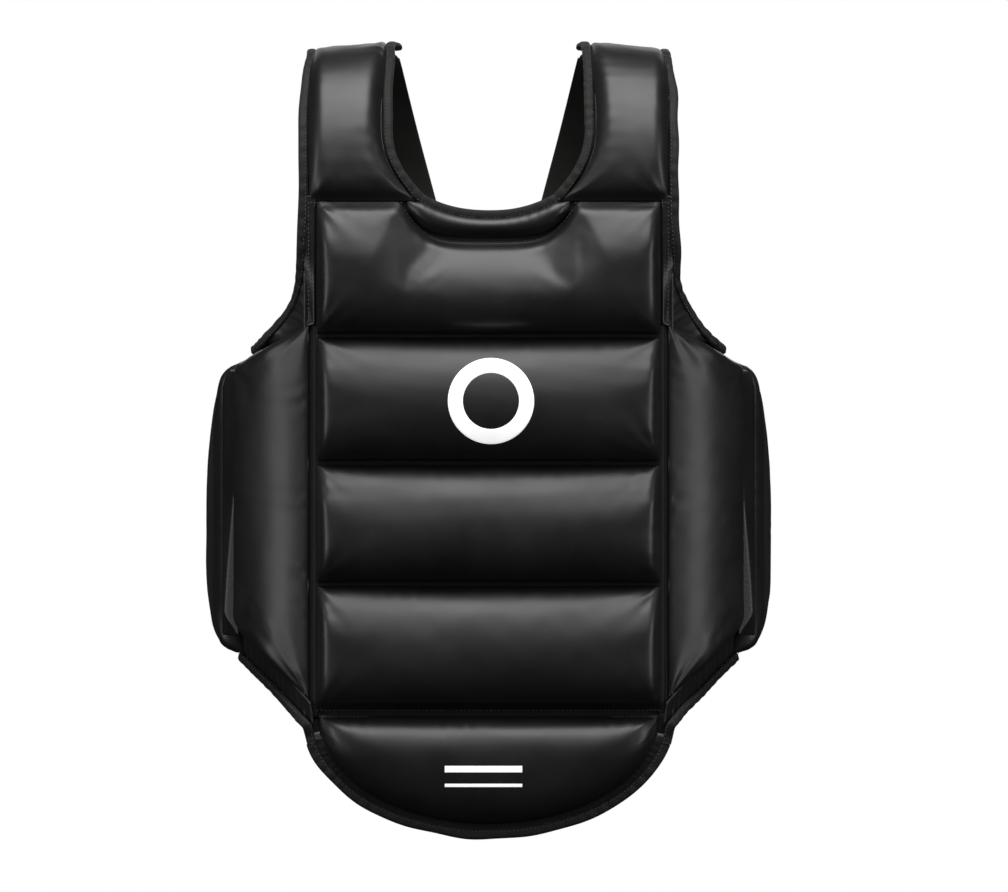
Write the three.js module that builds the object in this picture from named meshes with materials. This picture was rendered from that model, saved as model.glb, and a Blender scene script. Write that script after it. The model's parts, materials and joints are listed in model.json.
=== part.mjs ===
// Chest protector for martial arts and boxing training: a padded front with five sewn channels,
// two hinged pads that wrap each side of the ribs, padded shoulder straps, a back harness and
// two elastic waist straps that close on it with hook and loop.
//
// Millimetres, +Z up. The wearer faces -Y, so the wearer's left side is at +X. The origin lies
// midway between the undersides of the two shoulder straps, at their highest point.
import * as THREE from 'three';

// ---------------------------------------------------------------- driving dimensions
const GAP = 0.3; // clearance between pieces that touch
const SKIN = 1.6; // cover material
const LINING = 2; // lining material
const TAPE = 6.4; // visible width of the edge binding

const CHEST_Y = -90; // outer face of the front lining
const BACK_Y = 90; // inner face of the back harness
const CREST_RISE = 107; // height of the shoulder arch over the shoulder seam
const SHOULDER_SLOPE = 0.09; // the crest falls this much per millimetre towards the arm

// Heights of the sewn seams, from the shoulder seam down to the point of the belly flap.
const SHOULDER_SEAM = -107;
const CHANNEL_SEAMS = [-216, -318, -415, -518];
const COLLAR_BOTTOM = -139;
const FLAP_BOTTOM = -608;
const CHANNEL_THICK = [31, 32, 32, 32];
const FLAP_THICK = 26;
const FRONT_HALF = 139; // half width of the channels
const HINGE_X = 141; // the side seam, where the wings hinge

const WING = { angle: 54, length: 84, thick: 24 };
const RIB = { angle: 84, length: 114, thick: 25, top: -240, bottom: -468, back: 116.5 };
const STRAP_THICK = 15;
const REAR_STRAP = { width: 72, thick: 10, converge: 0.28, end: -226 };
const YOKE = { top: -226.5, bottom: -428, half: 82, waist: 70, thick: 13 };
const WAIST_STRAP = { middle: -394, width: 44, thick: 2 };
const TAB = { root: 56, tip: 11, thick: 1.6, hook: 1.1 };
const LOOP = { half: 62, top: -340, bottom: -418, thick: 1.3 };

// ---------------------------------------------------------------- finishes
const finish = (color, roughness) => new THREE.MeshStandardMaterial({ color, roughness, metalness: 0 });
const LEATHER = finish('#1d1d1f', 0.38);
const HARNESS = finish('#18181a', 0.6);
const FOAM = finish('#8f949b', 0.95);
const CLOTH = finish('#141410', 0.85);
const BINDING = finish('#34342f', 0.8);
const ELASTIC = finish('#1b1b1d', 0.9);
const LOOP_PILE = finish('#101012', 0.98);
const HOOK = finish('#232326', 0.7);

// ---------------------------------------------------------------- building closed solids
const group = new THREE.Group();
const vec = (x, y, z) => new THREE.Vector3(x, y, z);
const rad = THREE.MathUtils.degToRad;
const lerp = THREE.MathUtils.lerp;

/** Adds a named mesh whose faces are lists of corner points, turned so that they face outwards. */
function addSolid(name, material, triangles) {
  let volume = 0;
  for (const [a, b, c] of triangles) volume += a.dot(b.clone().cross(c));
  const positions = triangles.flatMap((t) => (volume < 0 ? [t[0], t[2], t[1]] : t).flatMap((p) => p.toArray()));
  const geometry = new THREE.BufferGeometry();
  geometry.setAttribute('position', new THREE.Float32BufferAttribute(positions, 3));
  geometry.computeVertexNormals();
  const mesh = new THREE.Mesh(geometry, material.clone());
  mesh.name = name;
  group.add(mesh);
}

/** A solid between two grids of points, with a wall round their edge. Diagonals run to the middle. */
function addGridSolid(name, material, outer, inner) {
  const ni = outer.length - 1;
  const nj = outer[0].length - 1;
  const triangles = [];
  const quad = (a, b, c, d, along) => {
    if (along) triangles.push([a, b, c], [a, c, d]);
    else triangles.push([a, b, d], [b, c, d]);
  };
  for (let i = 0; i < ni; i++) {
    for (let j = 0; j < nj; j++) {
      const along = i < ni / 2 === j < nj / 2;
      quad(outer[i][j], outer[i + 1][j], outer[i + 1][j + 1], outer[i][j + 1], along);
      quad(inner[i][j], inner[i][j + 1], inner[i + 1][j + 1], inner[i + 1][j], along);
    }
  }
  const rim = [];
  for (let i = 0; i < ni; i++) rim.push([i, 0]);
  for (let j = 0; j < nj; j++) rim.push([ni, j]);
  for (let i = ni; i > 0; i--) rim.push([i, nj]);
  for (let j = nj; j > 0; j--) rim.push([0, j]);
  rim.forEach(([i, j], k) => {
    const [m, n] = rim[(k + 1) % rim.length];
    quad(outer[i][j], inner[i][j], inner[m][n], outer[m][n], true);
  });
  addSolid(name, material, triangles);
}

/** A grid of points: place(a, b) for every a of one list and every b of another. */
const grid = (as, bs, place) => as.map((a) => bs.map((b) => place(a, b)));

const EVEN = (n) => Array.from({ length: n + 1 }, (_, i) => i / n);
const ACROSS = [0, 0.035, 0.1, 0.5, 0.9, 0.965, 1]; // long edges need little between the ends
const ALONG = [0, 0.1, 0.3, 0.7, 0.9, 1];

/** A sheet of even thickness on a surface. place(u, v, t) gives the point at height t over it. */
function addSheet(name, material, place, outline, t0, t1, as = EVEN(4), bs = EVEN(1)) {
  const layer = (t) => grid(as, bs, (a, b) => place(...outline(a, b), t));
  addGridSolid(name, material, layer(t1), layer(t0));
}

/**
 * A padded panel: a foam core under an open-backed cover. outline(a, b) gives the place of the
 * point at fraction a across and b up, and the crown rises to thick over a round edge.
 */
function addPad(name, place, outline, size) {
  const { width, height, thick, edge = 22, coreInset = 2 * SKIN + GAP, as = ACROSS, bs = ALONG } = size;
  const round = (x) => Math.sqrt(1 - (1 - Math.min(x, 1)) ** 2);
  const crown = (a, b) =>
    round((Math.min(a, 1 - a) * width) / edge) * round((Math.min(b, 1 - b) * height) / edge);
  const layer = (inset, base, rise) =>
    grid(as, bs, (a, b) => {
      const [u, v] = outline(lerp(inset / width, 1 - inset / width, a), lerp(inset / height, 1 - inset / height, b));
      return place(u, v, base + rise * crown(a, b));
    });
  addGridSolid(`${name}_cover`, LEATHER, layer(0, GAP, thick - GAP), layer(SKIN, GAP, thick - SKIN - GAP));
  const core = layer(coreInset, GAP + 0.8, thick - SKIN - 1.8 - 2 * GAP);
  addGridSolid(`${name}_foam`, FOAM, core, layer(coreInset, GAP, 0));
}

/** An edge binding: a flat bar swept along points, each with the direction across the tape. */
function addBinding(name, place, path, t0, t1, width = TAPE) {
  const ring = (k, t) => {
    const before = path[Math.max(k - 1, 0)];
    const after = path[Math.min(k + 1, path.length - 1)];
    const run = Math.hypot(after[0] - before[0], after[1] - before[1]);
    const [nu, nv] = [(after[1] - before[1]) / run, -(after[0] - before[0]) / run];
    return [0, width].map((w) => place(path[k][0] + nu * w, path[k][1] + nv * w, t));
  };
  const layer = (t) => path.map((_, k) => ring(k, t));
  addGridSolid(name, BINDING, layer(t1), layer(t0));
}

// ---------------------------------------------------------------- the surfaces that pieces lie on
/** Front panel: u across, v up, t out towards the opponent. */
const front = (u, v, t) => vec(u, CHEST_Y - t, v);

/** Back harness: u across, v up, t out behind the wearer. */
const back = (u, v, t) => vec(u, BACK_Y + t, v);

const sine = (degrees) => Math.sin(rad(degrees));
const cosine = (degrees) => Math.cos(rad(degrees));

/** Front wing: u back from the side seam. */
const wing = (side) => (u, v, t) =>
  vec(
    side * (HINGE_X + u * cosine(WING.angle) + t * sine(WING.angle)),
    CHEST_Y + u * sine(WING.angle) - t * cosine(WING.angle),
    v,
  );

const RIB_HINGE = {
  x: HINGE_X + (WING.length + 3) * cosine(WING.angle),
  y: CHEST_Y + (WING.length + 3) * sine(WING.angle),
};

/** Rib pad: u back from the seam behind the front wing. */
const rib = (side) => (u, v, t) =>
  vec(
    side * (RIB_HINGE.x + u * cosine(RIB.angle) + t * sine(RIB.angle)),
    RIB_HINGE.y + u * sine(RIB.angle) - t * cosine(RIB.angle),
    v,
  );

/**
 * Shoulder strap: u is the distance from the middle of the body, and v the angle round the
 * arch, from 0 at the shoulder seam in front, over 90 at the crest, to 180 behind. The arch is
 * half an ellipse from the front panel to the back harness.
 */
const strap = (side) => (u, v, t) => {
  const [c, s] = [cosine(v), sine(v)];
  const run = Math.hypot(c / -CHEST_Y, s / CREST_RISE);
  return vec(
    side * u,
    CHEST_Y * c + (t * c) / CHEST_Y / run,
    SHOULDER_SEAM + CREST_RISE * s + (t * s) / CREST_RISE / run - SHOULDER_SLOPE * (u - 112) * s,
  );
};
const archHeight = (v) => SHOULDER_SEAM + CREST_RISE * sine(v);

// ---------------------------------------------------------------- edges of the front panel
/** Neck edge of a strap pad: nearly upright, turning in below the collar bone. */
const strapInner = (z) => (z > -51 ? 85 - 0.0013 * (z + 40) ** 2 : 85 - 28 * ((-51 - z) / 56) ** 2.2);
/** Arm edge of a strap pad. */
const strapOuter = (z) => 145.5 - (z > -43 ? 12 * ((z + 43) / 55) ** 2.6 : 0);
/** Height of the neck line between the straps. */
const neckLine = (x) => -123 + 15 * (Math.abs(x) / 57) ** 2.2;
/** Height of the seam under the collar pad. */
const collarSeam = (x) => COLLAR_BOTTOM + 31 * (Math.abs(x) / 70) ** 3.4;
/** Depth of the flap's round edge under its seam. */
const flapDrop = (x, half, drop) => drop * Math.sqrt(Math.max(0, 1 - (x / half) ** 2));

// ---------------------------------------------------------------- front channels and collar
const HALF_SEAM = 0.5;
const channelTop = (i, x) => {
  if (i > 0) return CHANNEL_SEAMS[i - 1] - HALF_SEAM;
  return Math.abs(x) < 70 ? collarSeam(x) - HALF_SEAM : SHOULDER_SEAM - HALF_SEAM;
};
CHANNEL_SEAMS.forEach((seam, i) => {
  const bottom = seam + HALF_SEAM;
  const outline = (a, b) => {
    const x = lerp(-FRONT_HALF, FRONT_HALF, a);
    return [x, lerp(bottom, channelTop(i, x), b)];
  };
  const as = i > 0 ? ACROSS : [0, 0.035, 0.1, 0.24, 0.29, 0.36, 0.5, 0.64, 0.71, 0.76, 0.9, 0.965, 1];
  const height = i > 0 ? CHANNEL_SEAMS[i - 1] - seam : 95;
  addPad(`channel_${i + 1}`, front, outline, { width: 2 * FRONT_HALF, height, thick: CHANNEL_THICK[i], as });
});

const COLLAR_HALF = 64;
addPad(
  'collar',
  front,
  (a, b) => {
    const x = lerp(-COLLAR_HALF, COLLAR_HALF, a);
    const top = Math.min(neckLine(x) - 0.6, SHOULDER_SEAM - HALF_SEAM);
    return [x, lerp(collarSeam(x) + 4 * HALF_SEAM, top, b)];
  },
  { width: 2 * COLLAR_HALF, height: 15, thick: 11, edge: 8, as: EVEN(8), bs: [0, 0.25, 0.75, 1] },
);

// The lining closes the back of the channels from the neck line down to the flap's seam.
const LINING_TOP = SHOULDER_SEAM;
addSheet(
  'front_lining',
  CLOTH,
  front,
  (a, b) => {
    const x = lerp(-FRONT_HALF, FRONT_HALF, a);
    const top = Math.abs(x) < 57 ? neckLine(x) : LINING_TOP;
    return [x, lerp(CHANNEL_SEAMS[3] + 1, top, b)];
  },
  -LINING,
  0,
  [0, 0.295, 0.34, 0.39, 0.445, 0.5, 0.555, 0.61, 0.66, 0.705, 1],
);

// Belly flap under the last seam.
const FLAP_TOP = CHANNEL_SEAMS[3] - 1;
const FLAP_HALF = 137.5;
const flapOutline = (half, span, drop) => (a, b) => {
  const x = lerp(-span, span, a);
  return [x, lerp(FLAP_TOP - flapDrop(x, half, drop), FLAP_TOP, b)];
};
const ROUND_ACROSS = [0, 0.02, 0.06, 0.14, 0.28, 0.5, 0.72, 0.86, 0.94, 0.98, 1];
addPad('belly_flap', front, flapOutline(139, FLAP_HALF, FLAP_TOP - FLAP_BOTTOM), {
  width: 2 * FLAP_HALF,
  height: 80,
  thick: FLAP_THICK,
  coreInset: 6,
  as: ROUND_ACROSS,
});
const HEM = { half: 144.5, drop: 92 };
addSheet(
  'belly_flap_lining',
  CLOTH,
  front,
  flapOutline(HEM.half, HEM.half - 0.5, HEM.drop),
  -LINING,
  0,
  ROUND_ACROSS,
);
const flapEdge = EVEN(16).map((a) => {
  const turn = lerp(-90, 90, a);
  return [(HEM.half + 1.2) * sine(turn), FLAP_TOP - (HEM.drop + 1.2) * cosine(turn)];
});
addBinding('belly_flap_binding', front, flapEdge, -LINING - 1, 2.6);

// ---------------------------------------------------------------- neck binding
// From one crest down the strap, along the neck line and up to the other crest.
const STRAP_ANGLES = [0.4, 8, 20, 38, 58, 77, 88, 96]; // the shoulder pads run a little past the crest
const onNeckEdge = (side) => (v) => ({ side, u: strapInner(archHeight(v)) - 0.8, v });
const neckPath = [
  ...STRAP_ANGLES.slice(1).reverse().map(onNeckEdge(-1)),
  ...[-50, -34, -17, 0, 17, 34, 50].map((x) => ({ side: 0, x })),
  ...STRAP_ANGLES.slice(1).map(onNeckEdge(1)),
];
const neckPoint = (p, inward, t) =>
  p.side === 0
    ? front(p.x * (1 - inward / 140), neckLine(p.x) + 0.6 + inward, t)
    : strap(p.side)(p.u - inward, p.v, t);
const neckLayer = (t) => neckPath.map((p) => [0, TAPE].map((w) => neckPoint(p, w, t)));
addGridSolid('neck_binding', BINDING, neckLayer(3), neckLayer(-LINING - 0.5));

// ---------------------------------------------------------------- both sides
for (const [side, hand] of [
  [-1, 'right'],
  [1, 'left'],
]) {
  const onStrap = strap(side);
  const onWing = wing(side);
  const onRib = rib(side);

  // Shoulder strap in front, from the shoulder seam over the crest.
  const [first, last] = [STRAP_ANGLES[0], STRAP_ANGLES.at(-1)];
  const strapRows = STRAP_ANGLES.map((v) => (v - first) / (last - first));
  const strapOutline = (a, b) => {
    const v = lerp(first, last, b);
    const z = archHeight(v);
    return [lerp(strapInner(z), strapOuter(z), a), v];
  };
  addPad(`${hand}_shoulder_pad`, onStrap, strapOutline, {
    width: 61,
    height: 150,
    thick: STRAP_THICK,
    edge: 15,
    as: [0, 0.12, 0.35, 0.65, 0.88, 1],
    bs: strapRows,
  });
  addSheet(
    `${hand}_shoulder_lining`,
    CLOTH,
    onStrap,
    strapOutline,
    -LINING,
    0,
    [0, 1],
    strapRows,
  );

  // Plain side panel between the first channel and the arm opening, and the tape on its edge.
  addSheet(
    `${hand}_side_panel`,
    LEATHER,
    (u, v, t) => front(side * u, v, t),
    (a, b) => [lerp(FRONT_HALF + 0.6, 145.5, a), lerp(-176, SHOULDER_SEAM - 0.5, b)],
    -LINING,
    0.8,
    EVEN(1),
    EVEN(2),
  );
  const armRows = STRAP_ANGLES.map((v) => (w, t) => onStrap(strapOuter(archHeight(v)) + 0.6 + w, v, t));
  armRows.reverse();
  for (const z of [-112, -140, -168, -178]) {
    const u = 146.1 + Math.max(0, -130 - z) * 0.05;
    armRows.push((w, t) => front(side * (u + w), z, t));
  }
  const armLayer = (t) => armRows.map((row) => [0, TAPE].map((w) => row(w, t)));
  addGridSolid(`${hand}_armhole_binding`, BINDING, armLayer(3), armLayer(-LINING - 0.5));

  // Front wing.
  const wingTop = (u) => -206 - 0.44 * u;
  const wingBottom = (u) => -508 + 0.64 * u;
  const wingSpan = (u0, u1, rise, drop) => (a, b) => {
    const u = lerp(u0, u1, a);
    return [u, lerp(wingBottom(u) - drop, wingTop(u) + rise, b)];
  };
  addPad(`${hand}_wing`, onWing, wingSpan(1.5, WING.length - 1, 0, 0), {
    width: WING.length - 3,
    height: 255,
    thick: WING.thick,
    edge: 18,
    as: [0, 0.1, 0.3, 0.7, 0.9, 1],
    bs: [0, 0.03, 0.09, 0.5, 0.91, 0.97, 1],
  });
  addSheet(`${hand}_wing_lining`, CLOTH, onWing, wingSpan(2, WING.length, 5, 6), -LINING, 0, EVEN(1));
  const slant = (line, shift) => EVEN(3).map((a) => lerp(4, WING.length, a)).map((u) => [u, line(u) + shift]);
  addBinding(`${hand}_wing_top_binding`, onWing, slant(wingTop, 5.6).reverse(), -LINING - 1, 2.4);
  addBinding(`${hand}_wing_hem_binding`, onWing, slant(wingBottom, -6.6), -LINING - 1, 2.4);

  // Soft gusset that fills the fold between the wing and the rib pad, wider at the bottom.
  const gussetFoot = -455;
  addSheet(
    `${hand}_gusset`,
    LEATHER,
    (u, v, t) => onWing(WING.length - 0.5 + t, v, u),
    (a, b) => [lerp(lerp(5, 14, b), lerp(19, 17, b), a), lerp(gussetFoot, -300, b)],
    0,
    1.2,
    EVEN(1),
    EVEN(2),
  );

  // Rib pad: its top falls away towards the back in a quarter ellipse.
  const ribTop = (u) => RIB.top - 160 * (1 - Math.sqrt(1 - (u / RIB.back) ** 2));
  const ribBottom = (u) => RIB.bottom + 60 * (1 - Math.sqrt(1 - (u / RIB.back) ** 2.5));
  const ribSpan = (u0, u1, rise) => (a, b) => {
    const u = lerp(u0, u1, a);
    return [u, lerp(ribBottom(u) - rise, ribTop(u) + rise, b)];
  };
  const ribColumns = [0, 0.05, 0.15, 0.35, 0.6, 0.8, 0.92, 0.97, 1];
  addPad(`${hand}_rib`, onRib, ribSpan(3, RIB.length, -5), {
    width: RIB.length - 3,
    height: 160,
    thick: RIB.thick,
    edge: 18,
    as: ribColumns,
    bs: [0, 0.04, 0.12, 0.5, 0.88, 0.96, 1],
  });
  addSheet(`${hand}_rib_lining`, CLOTH, onRib, ribSpan(2, RIB.length, 0), -LINING, 0, ribColumns);
  for (const [edge, line, lift] of [
    ['top', ribTop, 0.6],
    ['hem', ribBottom, -0.6],
  ]) {
    const path = ribColumns.map((a) => lerp(3, RIB.length, a)).map((u) => [u, line(u) + lift]);
    if (lift > 0) path.reverse();
    addBinding(`${hand}_rib_${edge}_binding`, onRib, path, -LINING - 1, 2.4, 5.6);
  }

  // Elastic waist strap from the rear edge of the rib pad round to the hook tab behind.
  const strapBand = (line, thick) => {
    const layer = (w) =>
      line.map(([x, y], k) => {
        const before = line[Math.max(k - 1, 0)];
        const after = line[Math.min(k + 1, line.length - 1)];
        const run = Math.hypot(after[0] - before[0], after[1] - before[1]);
        const across = [(after[1] - before[1]) / run, -(after[0] - before[0]) / run];
        return [-0.5, 0.5].map((h) =>
          vec(side * (x + across[0] * w), y + across[1] * w, WAIST_STRAP.middle + h * WAIST_STRAP.width),
        );
      });
    return [layer(thick / 2), layer(-thick / 2)];
  };
  const ribEnd = rib(1)(RIB.length + 1.2, 0, 1);
  const tabY = BACK_Y + YOKE.thick + LOOP.thick + TAB.hook + 4 * GAP + TAB.thick / 2;
  const elasticLine = [
    [ribEnd.x, ribEnd.y],
    [ribEnd.x + 0.6, ribEnd.y + 6],
    [ribEnd.x - 2, ribEnd.y + 13],
    [ribEnd.x - 9, ribEnd.y + 17],
    [ribEnd.x - 20, ribEnd.y + 18],
    [ribEnd.x - 70, lerp(ribEnd.y + 18, tabY, 0.35)],
    [TAB.root + 2.2, tabY],
  ];
  addGridSolid(`${hand}_waist_elastic`, ELASTIC, ...strapBand(elasticLine, WAIST_STRAP.thick));

  // Hook tab at its end, with the hook patch on the face that meets the loop patch.
  addGridSolid(`${hand}_tab`, CLOTH, ...strapBand([[TAB.root, tabY], [TAB.tip, tabY]], TAB.thick));
  const hookY = BACK_Y + YOKE.thick + LOOP.thick + 3 * GAP + TAB.hook / 2;
  addGridSolid(
    `${hand}_hook_patch`,
    HOOK,
    ...strapBand([[TAB.root - 3, hookY], [TAB.tip + 1, hookY]], TAB.hook),
  );

  // Rear shoulder strap, from behind the crest down to the yoke, drawing in towards the spine.
  const rearStations = [99, 112, 128, 146, 163, 180].map((v) => ({ z: archHeight(v), v }));
  for (const z of [-150, -190, REAR_STRAP.end]) rearStations.push({ z, v: 180 });
  const rearPoint = (a, k, t) => {
    const { z, v } = rearStations[k];
    const inner = 74 - REAR_STRAP.converge * (7 - z);
    const u = inner + a * REAR_STRAP.width;
    const p = onStrap(u, v, t);
    return z < SHOULDER_SEAM ? vec(p.x, p.y, z) : p;
  };
  const rearLayer = (t) => [0, 0.15, 0.85, 1].map((a) =>
    rearStations.map((_, k) => rearPoint(a, k, t * (a > 0 && a < 1 ? 1 : 0.4))),
  );
  addGridSolid(`${hand}_rear_strap`, HARNESS, rearLayer(REAR_STRAP.thick), rearLayer(0));
}

// ---------------------------------------------------------------- back yoke and loop patch
/** Half width of the yoke: it follows the straps at the top and narrows to a tail. */
const yokeHalf = (z) => {
  const shoulder = lerp(YOKE.half, YOKE.waist, THREE.MathUtils.smoothstep(-z, 240, 320));
  return shoulder - 10 * THREE.MathUtils.smoothstep(-z, 410, -YOKE.bottom);
};
const yokeRows = [0, 0.05, 0.1, 0.35, 0.55, 0.8, 0.95, 1];
const yokeOutline = (inset) => (a, b) => {
  const z = lerp(YOKE.bottom + inset, YOKE.top - inset, b);
  return [lerp(-1, 1, a) * (yokeHalf(z) - inset), z];
};
const yokeLayer = (t, edge) =>
  grid([0, 0.06, 0.94, 1], yokeRows, (a, b) => {
    const inside = a > 0 && a < 1 && b > 0 && b < 1;
    return back(...yokeOutline(0)(a, b), inside ? t : edge);
  });
addGridSolid('back_yoke', HARNESS, yokeLayer(YOKE.thick, 5), yokeLayer(0, 0));
addSheet(
  'loop_patch',
  LOOP_PILE,
  back,
  (a, b) => [lerp(-LOOP.half, LOOP.half, a), lerp(LOOP.bottom, LOOP.top, b)],
  YOKE.thick + GAP,
  YOKE.thick + GAP + LOOP.thick,
  EVEN(1),
);

export default group;
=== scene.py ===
"""A padded chest protector for martial arts and boxing training.

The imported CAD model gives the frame: +Z up, the wearer faces -Y, and the wearer's left side is at
+X. Lengths are in metres. Every soft part is a surface worked out with numpy on a pattern (u across
or back, v up) that is laid on the front panel, a wing, a rib pad, a shoulder strap or the back, at
a height t over it. The pads are then blown up by a short cloth simulation, and dressed.
"""

from __future__ import annotations

import json
import logging
import math
from dataclasses import dataclass, field
from enum import Enum
from typing import Callable, ClassVar, Iterable, Sequence

import bpy
import numpy as np
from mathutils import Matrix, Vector


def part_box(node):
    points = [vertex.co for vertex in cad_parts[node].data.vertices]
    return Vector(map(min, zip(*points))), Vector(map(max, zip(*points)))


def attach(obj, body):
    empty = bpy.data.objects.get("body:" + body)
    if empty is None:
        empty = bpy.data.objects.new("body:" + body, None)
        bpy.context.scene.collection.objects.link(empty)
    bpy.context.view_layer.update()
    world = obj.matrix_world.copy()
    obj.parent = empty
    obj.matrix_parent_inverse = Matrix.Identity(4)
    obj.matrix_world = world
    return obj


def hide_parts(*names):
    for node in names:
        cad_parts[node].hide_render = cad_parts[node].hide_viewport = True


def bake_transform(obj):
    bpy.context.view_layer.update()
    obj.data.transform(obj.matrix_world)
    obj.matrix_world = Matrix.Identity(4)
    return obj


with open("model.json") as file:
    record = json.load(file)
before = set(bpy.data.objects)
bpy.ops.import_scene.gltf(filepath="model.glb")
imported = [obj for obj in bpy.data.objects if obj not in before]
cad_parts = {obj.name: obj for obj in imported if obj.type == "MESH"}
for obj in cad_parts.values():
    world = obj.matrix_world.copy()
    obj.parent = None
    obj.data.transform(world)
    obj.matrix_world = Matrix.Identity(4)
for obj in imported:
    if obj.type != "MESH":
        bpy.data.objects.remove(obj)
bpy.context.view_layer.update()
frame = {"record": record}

log = logging.getLogger("protector")

Array = np.ndarray
Colour = tuple[float, float, float, float]
Grids = tuple[Array, Array]
Path = tuple[Array, Array]
Bend = tuple[Sequence[float], Sequence[float]]
Line = Callable[[Array], Array]
Place = Callable[[Array, Array, Array], Array]
Outline = Callable[[Array, Array], tuple[Array, Array]]

FORWARD = (0.0, -1.0, 0.0)
BACKWARD = (0.0, 1.0, 0.0)
LINING_HEIGHTS = (-0.0002, -0.0020)
REAR_LINING_HEIGHTS = (0.0002, -0.0014)
STITCH_HEIGHT = 0.0021
TAPE_HEIGHT = 0.0012
TAPE_SEWN_IN = 0.0022
TAPE_SEWN_HEIGHT = 0.0024
FLANGE_THICK = 0.0012


# ---- numbers and curves
def lerp(a: Array | float, b: Array | float, x: Array | float) -> Array:
    """Blend a and b by x, which is 0 at a and 1 at b."""
    return np.asarray(a + (np.asarray(b) - a) * x, float)


def smooth(x: Array | float, low: float, high: float) -> Array:
    """Rise smoothly from 0 at low to 1 at high: 3x^2 - 2x^3 of the clipped fraction."""
    t = np.clip((np.asarray(x, float) - low) / (high - low), 0, 1)
    return t * t * (3 - 2 * t)


def rise(distance: Array, reach: float, power: float = 2.0) -> Array:
    """Height of a round edge: (1 - (1 - d/reach)^p)^(1/p), from 0 at the edge to 1 at reach."""
    x = np.clip(distance / reach, 0, 1)
    return (1 - (1 - x) ** power) ** (1 / power)


def soft_least(a: Array, b: Array, softness: float) -> Array:
    """The lesser of two values, rounded where they cross: -k log(exp(-a/k) + exp(-b/k))."""
    return -softness * np.logaddexp(-a / softness, -b / softness)


def ripple(along: Array, pitch: float, seed: int) -> Array:
    """An uneven wave about zero: five sines near the pitch with seeded phases, of unit size."""
    rng = np.random.default_rng(seed)
    waves = rng.uniform(0.62, 1.55, 5)
    phases = rng.uniform(0, 2 * np.pi, 5)
    total = np.zeros_like(np.asarray(along, float))
    for wave, phase in zip(waves, phases):
        total = total + np.sin(2 * np.pi * along * wave / pitch + phase)
    return total / 1.6


def swell(points: Array, pitch: float, seed: int) -> Array:
    """A slow uneven field over points in space: six plane waves in seeded directions."""
    rng = np.random.default_rng(seed)
    total = np.zeros(points.shape[:-1])
    for _ in range(6):
        direction = rng.normal(size=3)
        direction /= np.linalg.norm(direction)
        wave = rng.uniform(0.7, 1.5) / pitch
        total += np.sin(2 * np.pi * (points @ direction) * wave + rng.uniform(0, 2 * np.pi))
    return total / 1.8


def unit(vectors: Array) -> Array:
    """Vectors along the last axis, made one unit long."""
    return vectors / np.maximum(np.linalg.norm(vectors, axis=-1, keepdims=True), 1e-12)


def lengths_along(points: Array) -> Array:
    """Distance from the first point to each point of a path."""
    steps = np.linalg.norm(np.diff(points, axis=0), axis=1)
    return np.concatenate([[0.0], np.cumsum(steps)])


def read_along(points: Array, values: Array, at: Array) -> Array:
    """Values known at a path's points, read off at other distances along it."""
    along = lengths_along(points)
    return np.stack([np.interp(at, along, column) for column in values.T], 1)


def evenly(points: Array, count: int) -> Array:
    """As many points spread evenly over a line."""
    return read_along(points, points, np.linspace(0, lengths_along(points)[-1], count))


def resample(points: Array, normals: Array, step: float) -> Path:
    """Spread a path's points evenly.

    Args:
        points: the path, one row a point.
        normals: the surface's normal at each point.
        step: the wanted spacing, in metres.

    Returns:
        The evenly spaced points and their normals.
    """
    length = lengths_along(points)[-1]
    at = np.linspace(0, length, max(2, math.ceil(length / step) + 1))
    return read_along(points, points, at), unit(read_along(points, normals, at))


# ---- meshes
def grid_quads(index: Array) -> Array:
    """Faces of a grid, from its table of point numbers: one row of four for each cell."""
    a, b, c, d = index[:-1, :-1], index[1:, :-1], index[1:, 1:], index[:-1, 1:]
    return np.stack([a, b, c, d], -1).reshape(-1, 4)


def signed_volume(points: Array, quads: Array) -> float:
    """Volume inside closed quads: a sixth of the triple products of their triangles."""
    a, b, c, d = (points[quads[:, k]] for k in range(4))
    first = np.einsum("ij,ij->i", a, np.cross(b, c)).sum()
    return float(first + np.einsum("ij,ij->i", a, np.cross(c, d)).sum()) / 6


def new_mesh_object(name: str, points: Array, quads: Array, uv: Array | None = None) -> bpy.types.Object:
    """Put arrays into a smooth mesh object, turned so that its faces point outwards.

    Args:
        name: the piece's name.
        points: one row for each vertex.
        quads: four vertex numbers a face; a repeated number makes a triangle.
        uv: pattern coordinates of each vertex, in metres.

    Returns:
        The new object, linked to the scene.
    """
    if signed_volume(points, quads) < 0:
        quads = quads[:, ::-1]
    mesh = bpy.data.meshes.new(name)
    repeated = (quads == np.roll(quads, -1, axis=1)).any(1)
    faces = quads[~repeated].tolist() + [list(dict.fromkeys(q)) for q in quads[repeated].tolist()]
    mesh.from_pydata(points.tolist(), [], [f for f in faces if len(f) > 2])
    if uv is not None:
        layer = mesh.uv_layers.new(name="pattern")
        corner = np.empty(len(mesh.loops), int)
        mesh.loops.foreach_get("vertex_index", corner)
        layer.data.foreach_set("uv", uv[corner].astype(np.float32).ravel())
    mesh.polygons.foreach_set("use_smooth", np.ones(len(mesh.polygons), bool))
    mesh.update()
    piece = bpy.data.objects.new(name, mesh)
    bpy.context.scene.collection.objects.link(piece)
    return piece


def coordinates(piece: bpy.types.Object) -> Array:
    """The mesh's vertex positions as an array."""
    flat = np.empty(len(piece.data.vertices) * 3, np.float32)
    piece.data.vertices.foreach_get("co", flat)
    return flat.reshape(-1, 3).astype(float)


def set_coordinates(piece: bpy.types.Object, points: Array) -> None:
    """Move the mesh's vertices to the rows of an array."""
    piece.data.vertices.foreach_set("co", points.astype(np.float32).ravel())
    piece.data.update()


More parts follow.
